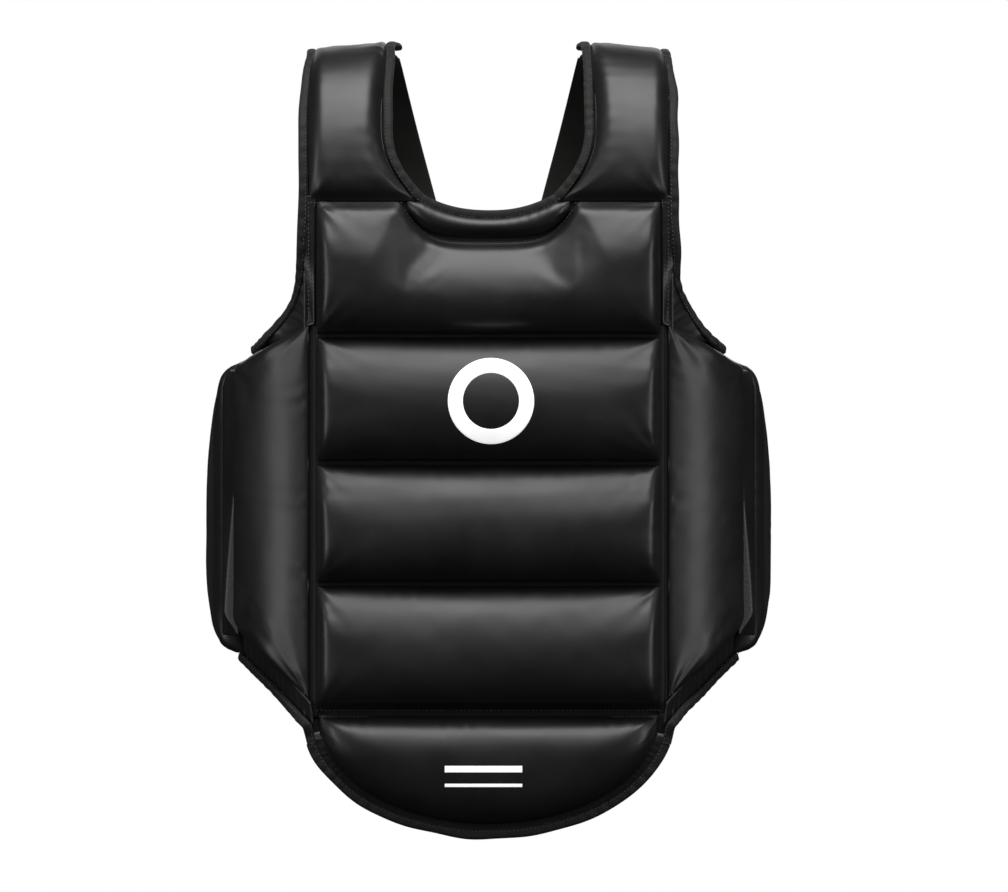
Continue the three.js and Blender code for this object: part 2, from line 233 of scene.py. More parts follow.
def apply_modifiers(piece: bpy.types.Object) -> None:
    """Make what the modifiers show the piece's own mesh, and take them off."""
    shown = piece.evaluated_get(bpy.context.evaluated_depsgraph_get())
    mesh = bpy.data.meshes.new_from_object(shown)
    piece.modifiers.clear()
    piece.data = mesh


def refine(piece: bpy.types.Object) -> None:
    """Round a mesh with one step of a subdivision surface and keep the result."""
    rounder = piece.modifiers.new("round", "SUBSURF")
    rounder.levels = rounder.render_levels = 1
    rounder.uv_smooth = "NONE"
    apply_modifiers(piece)


def join_parts(name: str, parts: Sequence[tuple[Array, Array]], uvs: Sequence[Array]) -> bpy.types.Object:
    """One object from several separate closed shells, each an array of points and of quads."""
    starts = np.cumsum([0] + [len(p) for p, _ in parts[:-1]])
    turned = [q if signed_volume(p, q) > 0 else q[:, ::-1] for p, q in parts]
    points = np.concatenate([p for p, _ in parts])
    quads = np.concatenate([q + s for q, s in zip(turned, starts)])
    return new_mesh_object(name, points, quads, np.concatenate(uvs))


def sheet_arrays(outer: Array, inner: Array, ring: bool = False) -> Grids:
    """Points and faces of a closed solid between two grids of points, with a wall at the edge.

    A ring's last row joins its first, and it has a wall along each of its two edges.
    """
    ni, nj = outer.shape[:2]
    top = np.arange(ni * nj).reshape(ni, nj)
    if ring:
        top = np.concatenate([top, top[:1]])
        rims = [top[:, 0], top[::-1, -1]]
    else:
        rims = [np.concatenate([top[:, 0], top[-1, 1:], top[-2::-1, -1], top[0, -2::-1]])]
    walls = [np.stack([r[:-1], r[1:], r[1:] + ni * nj, r[:-1] + ni * nj], 1)[:, ::-1] for r in rims]
    quads = np.concatenate([grid_quads(top), grid_quads(top + ni * nj)[:, ::-1], *walls])
    return np.concatenate([outer.reshape(-1, 3), inner.reshape(-1, 3)]), quads


def sweep_arrays(path: Array, normals: Array, profile: Array, turn: float) -> tuple[Array, Array, Array]:
    """Carry a closed profile along a path.

    The profile's first number runs across, along turn * (tangent x normal), and its second along
    the surface's normal. The ends are closed by a point in their middle.

    Args:
        path: the points, one row each.
        normals: the surface's normal at each point.
        profile: the closed outline, one (across, up) row for each corner.
        turn: 1 or -1, for which side of the path is across.

    Returns:
        The points, the faces and the pattern coordinates (along, round), in metres.
    """
    tangent = unit(np.gradient(path, axis=0))
    up = unit(normals - (normals * tangent).sum(1, keepdims=True) * tangent)
    across = turn * np.cross(tangent, up)
    rings = path[:, None] + profile[None, :, :1] * across[:, None] + profile[None, :, 1:] * up[:, None]
    n, m = rings.shape[:2]
    index = np.arange(n * m).reshape(n, m)
    quads = [grid_quads(np.concatenate([index, index[:, :1]], 1))]
    for row, centre in ((index[0], n * m), (index[-1], n * m + 1)):
        after = np.roll(row, -1)
        cap = np.stack([row, after, np.full(m, centre), np.full(m, centre)], 1)
        quads.append(cap[:, ::-1] if centre == n * m else cap)
    points = np.concatenate([rings.reshape(-1, 3), rings[[0, -1]].mean(1)])
    along = lengths_along(path)
    round_it = np.linspace(0, 1, m) * lengths_along(np.pad(profile, ((0, 0), (0, 1))))[-1]
    uv = np.stack(np.broadcast_arrays(along[:, None], round_it[None]), -1).reshape(-1, 2)
    uv = np.concatenate([uv, [[0, 0], [along[-1], 0]]])
    return points, np.concatenate(quads), uv


def rounded_profile(width: float, height: float, corners: int, power: float) -> Array:
    """A superellipse outline: |2x / width|^power + |2y / height|^power = 1."""
    turn = np.linspace(0, 2 * np.pi, corners, endpoint=False)
    c, s = np.cos(turn), np.sin(turn)
    x = np.sign(c) * np.abs(c) ** (2 / power) * width / 2
    y = np.sign(s) * np.abs(s) ** (2 / power) * height / 2
    return np.stack([x, y], 1)


# ---- finishes
class Nodes:
    """Adds nodes to a tree and joins them, so that a finish reads as a recipe."""

    def __init__(self, tree: bpy.types.NodeTree) -> None:
        """Start from an empty tree."""
        self.tree = tree
        tree.nodes.clear()

    def add(self, kind: str, inputs: dict[str | int, object], **settings: object) -> bpy.types.Node:
        """Add a node.

        Args:
            kind: the node's type name without its "ShaderNode" start.
            inputs: a value or an output socket for each named or numbered input.
            settings: attributes of the node itself.

        Returns:
            The new node.
        """
        node = self.tree.nodes.new(kind if kind.startswith("Node") else f"ShaderNode{kind}")
        for name, value in settings.items():
            setattr(node, name, value)
        for name, value in inputs.items():
            socket = node.inputs[name]
            if isinstance(value, bpy.types.NodeSocket):
                self.tree.links.new(value, socket)
            else:
                socket.default_value = value
        return node

    def math(self, operation: str, a: object, b: object = 0.0, c: object = 0.0) -> bpy.types.NodeSocket:
        """A Math node's result."""
        return self.add("Math", {0: a, 1: b, 2: c}, operation=operation).outputs[0]

    def mix(self, factor: object, a: object, b: object) -> bpy.types.NodeSocket:
        """Blend two colours."""
        return self.add("Mix", {0: factor, 6: a, 7: b}, data_type="RGBA").outputs[2]

    def scale(self, value: object, low: float, high: float) -> bpy.types.NodeSocket:
        """Spread a value from 0..1 to low..high."""
        return self.add("MapRange", {"Value": value, "To Min": low, "To Max": high}).outputs[0]

    def group(self, tree: bpy.types.NodeTree, inputs: dict[str, object]) -> bpy.types.Node:
        """Place a shared node group."""
        return self.add("Group", inputs, node_tree=tree)

    def bump(self, strength: float, depth: float, height: object) -> bpy.types.NodeSocket:
        """The normal of a relief of the given depth, in metres."""
        relief = {"Strength": strength, "Distance": depth, "Height": height}
        return self.add("Bump", relief).outputs[0]

    def give(self, target: bpy.types.Node, results: dict[str, object]) -> None:
        """Join results to the named inputs of a group's output node."""
        for name, value in results.items():
            self.tree.links.new(value, target.inputs[name])


def new_finish(name: str) -> tuple[bpy.types.Material, Nodes]:
    """An empty material and the adder of its nodes."""
    made = bpy.data.materials.new(name)
    made.use_nodes = True
    return made, Nodes(made.node_tree)


def surface(nodes: Nodes, colour: object, dull: object, relief: object = None, **more: object) -> None:
    """End a finish with its shader; more inputs have "_" for each space in their names."""
    look = {"Base Color": colour, "Roughness": dull}
    if relief is not None:
        look["Normal"] = relief
    shader = nodes.add("BsdfPrincipled", look | {key.replace("_", " "): more[key] for key in more})
    nodes.add("OutputMaterial", {0: shader.outputs[0]})


def shared_group(
    name: str, inputs: dict[str, float | None], outputs: Iterable[str]
) -> tuple[Nodes, dict[str, bpy.types.NodeSocket], bpy.types.Node]:
    """Start a shader node group.

    Args:
        name: the group's name.
        inputs: default of each named input, or None for a vector.
        outputs: names of the values it puts out.

    Returns:
        The node adder, the input sockets by name, and the output node.
    """
    tree = bpy.data.node_groups.new(name, "ShaderNodeTree")
    for key, value in inputs.items():
        kind = "NodeSocketVector" if value is None else "NodeSocketFloat"
        socket = tree.interface.new_socket(key, in_out="INPUT", socket_type=kind)
        if value is not None:
            socket.default_value = value
    for key in outputs:
        tree.interface.new_socket(key, in_out="OUTPUT", socket_type="NodeSocketFloat")
    nodes = Nodes(tree)
    source = nodes.add("NodeGroupInput", {})
    target = nodes.add("NodeGroupOutput", {})
    return nodes, {s.name: s for s in source.outputs if s.name}, target


def make_grain_group() -> bpy.types.NodeTree:
    """Fine pebbling of coated leather: cells of the given size over finer noise."""
    nodes, given, out = shared_group("grain", {"Vector": None, "Size": 0.0009}, ["Height", "Pores"])
    per_metre = nodes.math("DIVIDE", 1.0, given["Size"])
    cells = nodes.add("TexVoronoi", {"Vector": given["Vector"], "Scale": per_metre}, feature="SMOOTH_F1")
    fine = nodes.math("MULTIPLY", per_metre, 2.7)
    noise = nodes.add("TexNoise", {"Vector": given["Vector"], "Scale": fine, "Detail": 3.0})
    pores = nodes.math("SMOOTH_MIN", cells.outputs["Distance"], 0.6, 0.2)
    both = nodes.math("MULTIPLY_ADD", noise.outputs[0], 0.35, nodes.math("MULTIPLY", pores, 0.65))
    nodes.give(out, {"Height": both, "Pores": pores})
    return nodes.tree


def make_weave_group() -> bpy.types.NodeTree:
    """Plain weave: sin(pi x warp) * sin(pi y weft) on pattern coordinates in metres."""
    given_inputs = {"Vector": None, "Warp": 1500.0, "Weft": 1500.0}
    nodes, given, out = shared_group("weave", given_inputs, ["Height", "Shade"])
    parts = nodes.add("SeparateXYZ", {0: given["Vector"]})
    waves = []
    for axis, count in enumerate(("Warp", "Weft")):
        turns = nodes.math("MULTIPLY", parts.outputs[axis], given[count])
        waves.append(nodes.math("SINE", nodes.math("MULTIPLY", turns, math.pi)))
    product = nodes.math("MULTIPLY", waves[0], waves[1])
    height = nodes.math("MULTIPLY_ADD", product, 0.5, 0.5)
    fuzz = nodes.add("TexNoise", {"Vector": given["Vector"], "Scale": 900.0, "Detail": 2.0})
    shade = nodes.math("MULTIPLY", height, nodes.scale(fuzz.outputs[0], 0.6, 1.4))
    nodes.give(out, {"Height": height, "Shade": shade})
    return nodes.tree


def make_handling_group() -> bpy.types.NodeTree:
    """Marks of handling: broad dull clouds and short faint scuffs, both from 0 to 1."""
    nodes, given, out = shared_group("handling", {"Vector": None, "Size": 0.05}, ["Clouds", "Scuffs"])
    per_metre = nodes.math("DIVIDE", 1.0, given["Size"])
    broad = {"Vector": given["Vector"], "Scale": per_metre, "Detail": 5.0, "Roughness": 0.6}
    clouds = nodes.add("TexNoise", broad)
    soft = nodes.add("MapRange", {"Value": clouds.outputs[0], "From Min": 0.35, "From Max": 0.7})
    squeezed = nodes.add("Mapping", {"Vector": given["Vector"], "Scale": (1.0, 1.0, 0.22)})
    lines = nodes.add("TexNoise", {"Vector": squeezed.outputs[0], "Scale": 420.0, "Detail": 2.0})
    sharp = nodes.add("MapRange", {"Value": lines.outputs[0], "From Min": 0.66, "From Max": 0.78})
    nodes.give(out, {"Clouds": soft.outputs[0], "Scuffs": sharp.outputs[0]})
    return nodes.tree


class Effects:
    """The shader node groups that the finishes share."""

    def __init__(self) -> None:
        """Build each group once."""
        self.grain = make_grain_group()
        self.weave = make_weave_group()
        self.handling = make_handling_group()


def grey(level: float, warmth: float = 0.0) -> Colour:
    """A near-neutral colour; warmth raises red and lowers blue by that share."""
    return (level * (1 + warmth), level, level * (1 - warmth), 1.0)


@dataclass(frozen=True)
class Leather:
    """Black coated synthetic leather with a soft shine."""

    name: str = "coated_leather"
    base: float = 0.0075
    roughness: float = 0.42
    grain: float = 0.0009
    depth: float = 0.00002
    coat: float = 0.10

    def material(self, effects: Effects) -> bpy.types.Material:
        """Build the material: grain in the normal, clouds and scuffs in colour and roughness."""
        made, n = new_finish(self.name)
        place = n.add("TexCoord", {}).outputs["Object"]
        grain = n.group(effects.grain, {"Vector": place, "Size": self.grain})
        marks = n.group(effects.handling, {"Vector": place, "Size": 0.055})
        clouds, scuffs = marks.outputs["Clouds"], marks.outputs["Scuffs"]
        colour = n.mix(clouds, grey(self.base), grey(self.base * 1.5, -0.01))
        colour = n.mix(n.math("MULTIPLY", scuffs, 0.3), colour, grey(self.base * 3.2))
        dull = n.math("MULTIPLY_ADD", clouds, 0.07, self.roughness - 0.03)
        dull = n.math("MULTIPLY_ADD", scuffs, 0.06, dull)
        dull = n.math("MULTIPLY_ADD", grain.outputs["Pores"], 0.05, dull)
        relief = n.bump(0.35, self.depth * 3, grain.outputs["Height"])
        surface(n, colour, dull, relief, Coat_Weight=self.coat, Coat_Roughness=0.24)
        return made


@dataclass(frozen=True)
class Cloth:
    """A woven finish: lining, edge tape, elastic or tab webbing."""

    name: str
    base: float
    warmth: float
    roughness: float
    warp: float
    weft: float
    depth: float
    on_pattern: bool = True
    sheen: float = 0.15

    def material(self, effects: Effects) -> bpy.types.Material:
        """Build the material: the weave sets colour, roughness and height."""
        made, n = new_finish(self.name)
        place = n.add("TexCoord", {})
        pattern = place.outputs["UV" if self.on_pattern else "Object"]
        weave = n.group(effects.weave, {"Vector": pattern, "Warp": self.warp, "Weft": self.weft})
        marks = n.group(effects.handling, {"Vector": place.outputs["Object"], "Size": 0.03})
        low, high = grey(self.base * 0.55, self.warmth), grey(self.base * 1.35, self.warmth)
        shade = n.mix(weave.outputs["Shade"], low, high)
        worn = n.math("MULTIPLY", marks.outputs["Clouds"], 0.35)
        colour = n.mix(worn, shade, grey(self.base * 1.7, self.warmth * 0.6))
        dull = n.scale(weave.outputs["Height"], min(1.0, self.roughness + 0.08), self.roughness - 0.08)
        relief = n.bump(0.6, self.depth, weave.outputs["Height"])
        sheen = {"Sheen_Weight": self.sheen, "Sheen_Roughness": 0.5}
        surface(n, colour, dull, relief, Specular_IOR_Level=0.32, **sheen)
        return made


@dataclass(frozen=True)
class Pile:
    """The looped pile or the moulded hooks of a touch fastener."""

    name: str
    base: float
    size: float
    depth: float
    roughness: float

    def material(self, effects: Effects) -> bpy.types.Material:
        """Build the material: tufts as cells, with dark gaps between them."""
        made, n = new_finish(self.name)
        place = n.add("TexCoord", {}).outputs["Object"]
        tufts = n.group(effects.grain, {"Vector": place, "Size": self.size})
        marks = n.group(effects.handling, {"Vector": place, "Size": 0.02})
        colour = n.mix(tufts.outputs["Pores"], grey(self.base * 0.4), grey(self.base * 1.6))
        colour = n.mix(n.math("MULTIPLY", marks.outputs["Clouds"], 0.4), colour, grey(self.base * 2.2))
        dull = n.scale(tufts.outputs["Height"], self.roughness, self.roughness - 0.15)
        relief = n.bump(0.9, self.depth, tufts.outputs["Height"])
        surface(n, colour, dull, relief)
        return made


@dataclass(frozen=True)
class Ink:
    """Printed ink on the leather, slightly worn, with painted light: it gives off a glow of its own that
    keeps it white.
    """

    name: str = "white_print"
    base: float = 0.86
    roughness: float = 0.42
    # Strength of the painted light that the ink emits.
    glow: float = 0.7

    def material(self, effects: Effects) -> bpy.types.Material:
        """Build the material: even ink with faint clouds, over the leather's grain, emitting its own colour
        as painted light.
        """
        made, n = new_finish(self.name)
        place = n.add("TexCoord", {}).outputs["Object"]
        grain = n.group(effects.grain, {"Vector": place, "Size": 0.0009})
        marks = n.group(effects.handling, {"Vector": place, "Size": 0.012})
        worn = n.math("MULTIPLY", marks.outputs["Clouds"], 0.3)
        colour = n.mix(worn, grey(self.base), grey(self.base * 0.88))
        dull = n.scale(marks.outputs["Scuffs"], self.roughness, self.roughness + 0.15)
        relief = n.bump(0.25, 0.00004, grain.outputs["Height"])
        # Painted light: the ink emits its colour, so it stays white however it is lit.
        surface(n, colour, dull, relief, Emission_Color=colour, Emission_Strength=self.glow)
        return made


class Finish(Enum):
    """The finishes of the protector, by the piece that wears them."""

    LEATHER = Leather()
    HARNESS = Leather("harness_leather", 0.0080, 0.50, 0.0011, 0.00003, 0.05)
    LINING = Cloth("lining_cloth", 0.0068, 0.16, 0.75, 1400.0, 1400.0, 0.00012, False, 0.05)
    TAPE = Cloth("edge_tape", 0.0075, 0.1, 0.66, 900.0, 2100.0, 0.00022, True, 0.07)
    ELASTIC = Cloth("ribbed_elastic", 0.011, 0.0, 0.66, 520.0, 1300.0, 0.0003)
    TAB = Cloth("tab_webbing", 0.012, 0.0, 0.6, 1000.0, 1000.0, 0.0002)
    THREAD = Cloth("sewing_thread", 0.045, 0.03, 0.5, 2600.0, 400.0, 0.00008, False)
    LOOPS = Pile("loop_pile", 0.009, 0.0013, 0.0007, 0.95)
    HOOKS = Pile("moulded_hooks", 0.02, 0.0011, 0.0005, 0.55)
    INK = Ink()


class Wardrobe:
    """Makes each finish once and dresses pieces in it."""

    def __init__(self) -> None:
        """Build every material."""
        effects = Effects()
        self.materials = {finish: finish.value.material(effects) for finish in Finish}

    def dress(self, piece: bpy.types.Object, finish: Finish) -> bpy.types.Object:
        """Give a piece its only material."""
        piece.data.materials.clear()
        piece.data.materials.append(self.materials[finish])
        return piece


# ---- the frame's places
def joint_place(name: str) -> Array:
    """Where a joint of the CAD model lies."""
    joints = frame["record"]["behaviour"]["joints"]
    return np.array(next(j["pos_m"] for j in joints if j["name"] == name), float)


@dataclass(frozen=True)
class Layout:
    """Surfaces and seam lines that the sub-assemblies share, taken from the CAD frame."""

    chest_y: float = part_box("front_lining")[0][1]
    back_y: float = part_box("back_yoke")[0][1]
    half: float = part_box("channel_1_cover")[1][0]
    shoulder_seam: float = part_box("front_lining")[1][2]
    flap_seam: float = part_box("belly_flap_cover")[1][2]
    wing_angle: float = math.radians(54)
    rib_angle: float = math.radians(84)
    arch_depth: float = 0.090
    arch_rise: float = 0.107
    strap_middle: float = 0.112
    shoulder_slope: float = 0.09
    crest_lift: float = 0.0058

    def front(self, u: Array, v: Array, t: Array) -> Array:
        """The front panel: (u, chest plane - t, v)."""
        return np.stack(np.broadcast_arrays(u, self.chest_y - np.asarray(t), v), -1).astype(float)

    def back(self, u: Array, v: Array, t: Array) -> Array:
        """The back harness: (u, back plane + t, v)."""
        return np.stack(np.broadcast_arrays(u, self.back_y + np.asarray(t), v), -1).astype(float)

    def wing(self, side: int) -> Place:
        """A front wing: from the side seam, u runs back at the wing's angle and t stands off it."""
        return self.fold(side, joint_place("left_wing_fold"), self.wing_angle)

    def rib(self, side: int) -> Place:
        """A rib pad: as the wing, from the hinge behind it and nearly straight back."""
        return self.fold(side, joint_place("left_rib_fold"), self.rib_angle)

    @staticmethod
    def fold(side: int, hinge: Array, angle: float) -> Place:
        """A plane that turns back from an upright hinge at an angle to the front panel."""
        c, s = math.cos(angle), math.sin(angle)

        def place(u: Array, v: Array, t: Array) -> Array:
            """(hinge + u along + t out, v)."""
            x = side * (hinge[0] + u * c + t * s)
            return np.stack(np.broadcast_arrays(x, hinge[1] + u * s - t * c, v), -1).astype(float)

        return place

    def strap(self, side: int) -> Place:
        """A shoulder strap: u out from the middle, v degrees round half an ellipse over the shoulder."""

        def place(u: Array, v: Array, t: Array) -> Array:
            """The ellipse's point and t along its normal.

            It is lower towards the arm, and the whole crest is lifted by a few millimetres.
            """
            turn = np.radians(v)
            c, s = np.cos(turn), np.sin(turn)
            run = np.hypot(c / self.arch_depth, s / self.arch_rise)
            y = -self.arch_depth * c - t * c / self.arch_depth / run
            z = self.shoulder_seam + self.arch_rise * s + t * s / self.arch_rise / run
            z = z - self.shoulder_slope * (u - self.strap_middle) * s
            z = z + self.crest_lift * smooth(v, 15, 75) * (1 - smooth(v, 105, 160))
            return np.stack(np.broadcast_arrays(side * u, y, z), -1).astype(float)

        return place

    def strap_normal(self, v: Array) -> Array:
        """The strap's outward normal at an angle round the arch."""
        turn = np.radians(v)
        flat = np.stack([0 * turn, -np.cos(turn) / self.arch_depth, np.sin(turn) / self.arch_rise], -1)
        return unit(flat)

    def arch_height(self, v: Array) -> Array:
        """Height of the strap's underside at an angle round the arch."""
        return self.shoulder_seam + self.arch_rise * np.sin(np.radians(v))

    def channel_seams(self) -> list[float]:
        """Heights of the seams above the first channel and below each of the four."""
        lows = [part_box(f"channel_{i}_cover")[0][2] for i in (1, 2, 3, 4)]
        return [self.shoulder_seam, *lows]


NECK_REACH = 0.057
COLLAR_REACH = 0.070
RIB_REACH = 0.1165


def strap_inner(z: Array) -> Array:
    """Neck edge of a strap pad: 85 mm out, drawing in by up to 28 mm at the shoulder seam."""
    upper = 0.085 - 1.3 * (z + 0.040) ** 2
    lower = 0.085 - 0.028 * (np.maximum(-0.051 - z, 0) / 0.056) ** 2.2
    return np.where(z > -0.051, upper, lower)


def strap_outer(z: Array) -> Array:
    """Arm edge of the pads and the plain side: 145.5 mm out, less near the crest."""
    return 0.1455 - 0.012 * (np.maximum(z + 0.043, 0) / 0.055) ** 2.6


def neck_line(x: Array) -> Array:
    """Height of the neck line between the straps."""
    return -0.123 + 0.015 * (np.abs(x) / NECK_REACH) ** 2.2


def collar_seam(x: Array) -> Array:
    """Height of the seam under the collar pad."""
    return -0.139 + 0.031 * (np.minimum(np.abs(x) / COLLAR_REACH, 1)) ** 4.5


def wing_top(u: Array) -> Array:
    """Height of a wing pad's top edge, falling towards the back."""
    return -0.206 - 0.44 * u


def wing_crest(u: Array) -> Array:
    """Top edge of the filled pad, a little over the sewn line towards the back."""
    return -0.2040 - 0.36 * u


def wing_bottom(u: Array) -> Array:
    """Height of a wing pad's lower edge, rising towards the back."""
    return -0.508 + 0.64 * u


def rib_top(u: Array) -> Array:
    """Height of a rib pad's top edge: a quarter ellipse that falls away to the back."""
    return -0.240 - 0.160 * (1 - np.sqrt(1 - (u / RIB_REACH) ** 2))


def rib_bottom(u: Array) -> Array:
    """Height of a rib pad's lower edge, rounding up at the back."""
    return -0.468 + 0.060 * (1 - np.sqrt(1 - np.clip(u / RIB_REACH, 0, 1) ** 2.5))


def between(left: float, right: float, low: Line, high: Line) -> Outline:
    """An outline from left to right, with its lower and upper edges as functions of u."""

    def outline(a: Array, b: Array) -> tuple[Array, Array]:
        """Fractions a across and b up, as u and v."""
        u = lerp(left, right, a)
        return u, lerp(low(u), high(u), b)

    return outline


def level(height: float) -> Line:
    """A straight edge at one height."""
    return lambda u: np.full_like(u, height)


# ---- pads
@dataclass
class Puckers:
    """Small gathers along a pad's seams: their depth, reach from the seam and spacing."""

    depth: float = 0.0002
    reach: float = 0.009
    pitch: float = 0.011
    seed: int = 1
    corner: float = 0.0004
    swell: float = 0.00012


@dataclass
class Pad:
    """A padded panel, sewn down all round.

    Its face rises from a narrow stitched ledge over a round edge to its full thickness, and its
    back lies flat on the lining. The cloth run adds push, and at most TRAVEL times as much.
    """

    name: str
    body: str
    replaces: tuple[str, ...]
    place: Place
    outline: Outline
    width: float
    height: float
    thick: float
    side_reach: float = 0.020
    seam_reach: float = 0.030
    low_reach: float | None = None
    power: float = 2.1
    columns: bool = True
    lean: Callable[[Array], Array] | None = None
    crown: Callable[[Sequence[Array]], Array] | None = None
    ledge: tuple[float, float, float, float] = (0.0012, 0.0012, 0.0012, 0.0012)
    spacing: float = 0.0045
    push: float = 0.003
    pressure: float = 5.0
    puckers: Puckers = field(default_factory=Puckers)
    fill: float = 0.8
    finish: Finish = Finish.LEATHER
    slot: str = "leather"
    seam_height: float = 0.0016
    back_height: float = 0.0003
    piece: bpy.types.Object | None = None
    TRAVEL: ClassVar[float] = 1.6

    def edges(self, a: Array, b: Array) -> list[Array]:
        """Way to the left, right, lower and upper edge, in metres.

        With columns, the height is the outline's own at each a. The lean shortens the way down to
        a lower edge that slopes.
        """
        height = np.full_like(a, self.height)
        if self.columns:
            height = self.outline(a, np.ones_like(a))[1] - self.outline(a, np.zeros_like(a))[1]
        down = b * height * (self.lean(a) if self.lean else 1)
        return [a * self.width, (1 - a) * self.width, down, (1 - b) * height]

    def thickness(self, a: Array, b: Array) -> Array:
        """Height of the face: the seam's height, then the crown's share of the rest.

        The plain crown is the product of four round edges.
        """
        ways = [np.maximum(way - rim, 0) for way, rim in zip(self.edges(a, b), self.ledge)]
        if self.crown:
            share = self.crown(ways)
        else:
            left, right, low, high = ways
            foot = self.low_reach or self.seam_reach
            share = rise(left, self.side_reach, self.power) * rise(right, self.side_reach, self.power)
            share = share * rise(low, foot, self.power) * rise(high, self.seam_reach, self.power)
        return self.seam_height + (self.thick - self.push - self.seam_height) * share

    def build(self) -> "Pad":
        """Make the coarse closed mesh: the face's grid and the back's share their border."""
        ni = max(8, round(self.width / self.spacing)) + 1
        nj = max(6, round(self.height / self.spacing)) + 1
        a, b = np.meshgrid(np.linspace(0, 1, ni), np.linspace(0, 1, nj), indexing="ij")
        u, v = self.outline(a, b)
        face = self.place(u, v, self.thickness(a, b))
        back = self.place(u, v, np.full_like(a, self.back_height))
        top = np.arange(ni * nj).reshape(ni, nj)
        low = top.copy()
        low[1:-1, 1:-1] = ni * nj + np.arange((ni - 2) * (nj - 2)).reshape(ni - 2, nj - 2)
        quads = np.concatenate([grid_quads(top), grid_quads(low)[:, ::-1]])
        points = np.concatenate([face.reshape(-1, 3), back[1:-1, 1:-1].reshape(-1, 3)])
        self.piece = new_mesh_object(self.name, points, quads)
        pattern = np.stack([a, b, np.ones_like(a)], -1).reshape(-1, 3)
        under = np.stack([a, b, np.zeros_like(a)], -1)[1:-1, 1:-1].reshape(-1, 3)
        self.remember(np.concatenate([pattern, under]))
        return self

    def remember(self, pattern: Array) -> None:
        """Keep each vertex's place on the pattern (a, b) and whether it is on the face."""
        layer = self.piece.data.attributes.new("on_pattern", "FLOAT_VECTOR", "POINT")
        layer.data.foreach_set("vector", pattern.astype(np.float32).ravel())

    def recall(self) -> Array:
        """Each vertex's a, b and face share."""
        layer = self.piece.data.attributes["on_pattern"]
        flat = np.empty(len(self.piece.data.vertices) * 3, np.float32)
        layer.data.foreach_get("vector", flat)
        return flat.reshape(-1, 3).astype(float)

    def held(self) -> Array:
        """True where the seam, its ledge or the lining holds the cloth still."""
        a, b, face = self.recall().T
        margin = self.spacing * 0.4
        near = np.minimum.reduce([way - rim for way, rim in zip(self.edges(a, b), self.ledge)])
        return (face < 0.5) | (near < margin)

    def add_cloth(self) -> None:
        """Give the piece a cloth that pressure blows up, held at the seams and by the lining."""
        group = self.piece.vertex_groups.new(name="held")
        group.add(np.flatnonzero(self.held()).tolist(), 1.0, "REPLACE")
        cloth = self.piece.modifiers.new("cloth", "CLOTH")
        settings = cloth.settings
        settings.quality = 4
        settings.mass = 0.25
        settings.vertex_group_mass = "held"
        settings.use_pressure = True
        settings.uniform_pressure_force = self.pressure
        settings.tension_stiffness = settings.compression_stiffness = 18
        settings.shear_stiffness = 6
        settings.bending_stiffness = 0.35
        settings.air_damping = 3
        settings.effector_weights.gravity = 0
        cloth.collision_settings.use_self_collision = False
        cloth.collision_settings.use_collision = False
        cloth.point_cache.frame_start = 1
        cloth.point_cache.frame_end = PadBench.FRAMES

    def take_cloth(self) -> None:
        """Keep the simulated shape, with each point's travel capped, and drop the cloth."""
        before = coordinates(self.piece)
        shown = self.piece.evaluated_get(bpy.context.evaluated_depsgraph_get())
        flat = np.empty(len(shown.data.vertices) * 3, np.float32)
        shown.data.vertices.foreach_get("co", flat)
        travel = flat.reshape(-1, 3) - before
        size = np.linalg.norm(travel, axis=1, keepdims=True)
        travel = travel * np.minimum(1, self.TRAVEL * self.push / np.maximum(size, 1e-9))
        self.piece.modifiers.clear()
        self.piece.vertex_groups.clear()
        set_coordinates(self.piece, before + travel)

    def gather(self) -> None:
        """Press puckers into the face beside each seam, and a faint swell all over it.

        Each gather is an uneven wave along the seam that dies away from it as exp(-d / reach).
        """
        a, b, face = self.recall().T
        normals = np.empty(len(self.piece.data.vertices) * 3, np.float32)
        self.piece.data.vertices.foreach_get("normal", normals)
        points = coordinates(self.piece)
        p = self.puckers
        from_sides = self.edges(a, b)
        along_sides = [b * self.height, b * self.height, a * self.width, a * self.width]
        wave = np.zeros_like(a)
        for k, (away, along) in enumerate(zip(from_sides, along_sides)):
            away = np.maximum(away - self.ledge[k], 0)
            start = smooth(away, 0, 0.003)
            strength = 0.6 + 0.4 * ripple(along, 0.09, p.seed + 40 + k)
            wave += ripple(along, p.pitch, p.seed + k) * strength * start * np.exp(-away / p.reach)
        for k, (across, up) in enumerate(((0, 2), (0, 3), (1, 2), (1, 3))):
            heading = np.arctan2(from_sides[up], from_sides[across])
            away = np.hypot(from_sides[up], from_sides[across])
            fold = np.exp(-away / (2.2 * p.reach)) * smooth(away, 0.003, 0.012)
            wave += p.corner / p.depth * ripple(heading, 0.55, p.seed + 60 + k) * fold
        inside = smooth(np.minimum.reduce(from_sides), 0.002, 0.02)
        lift = p.depth * wave + p.swell * inside * swell(points, 0.07, p.seed + 9)
        lift += 0.3 * p.swell * inside * swell(points, 0.021, p.seed + 19)
        points += (lift * face)[:, None] * normals.reshape(-1, 3)
        set_coordinates(self.piece, points)

    def complete(self, wardrobe: Wardrobe) -> bpy.types.Object:
        """Round, gather, dress and fasten the pad."""
        refine(self.piece)
        self.gather()
        wardrobe.dress(self.piece, self.finish)
        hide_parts(*self.replaces)
        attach(self.piece, self.body)
        report(self.piece)
        return self.piece


class PadBench:
    """Blows up all the pads in one run of the clock."""

    FRAMES = 20

    def __init__(self) -> None:
        """Start with no pads."""
        self.pads: list[Pad] = []

    def add(self, pad: Pad) -> Pad:
        """Build a pad and queue it."""
        self.pads.append(pad.build())
        return pad

    def inflate(self) -> None:
        """Simulate every queued pad over the same frames, and keep the results."""
        scene = bpy.context.scene
        for pad in self.pads:
            pad.add_cloth()
        for number in range(1, self.FRAMES + 1):
            scene.frame_set(number)
        for pad in self.pads:
            pad.take_cloth()
        scene.frame_set(1)
        log.info("cloth done on %d pads", len(self.pads))


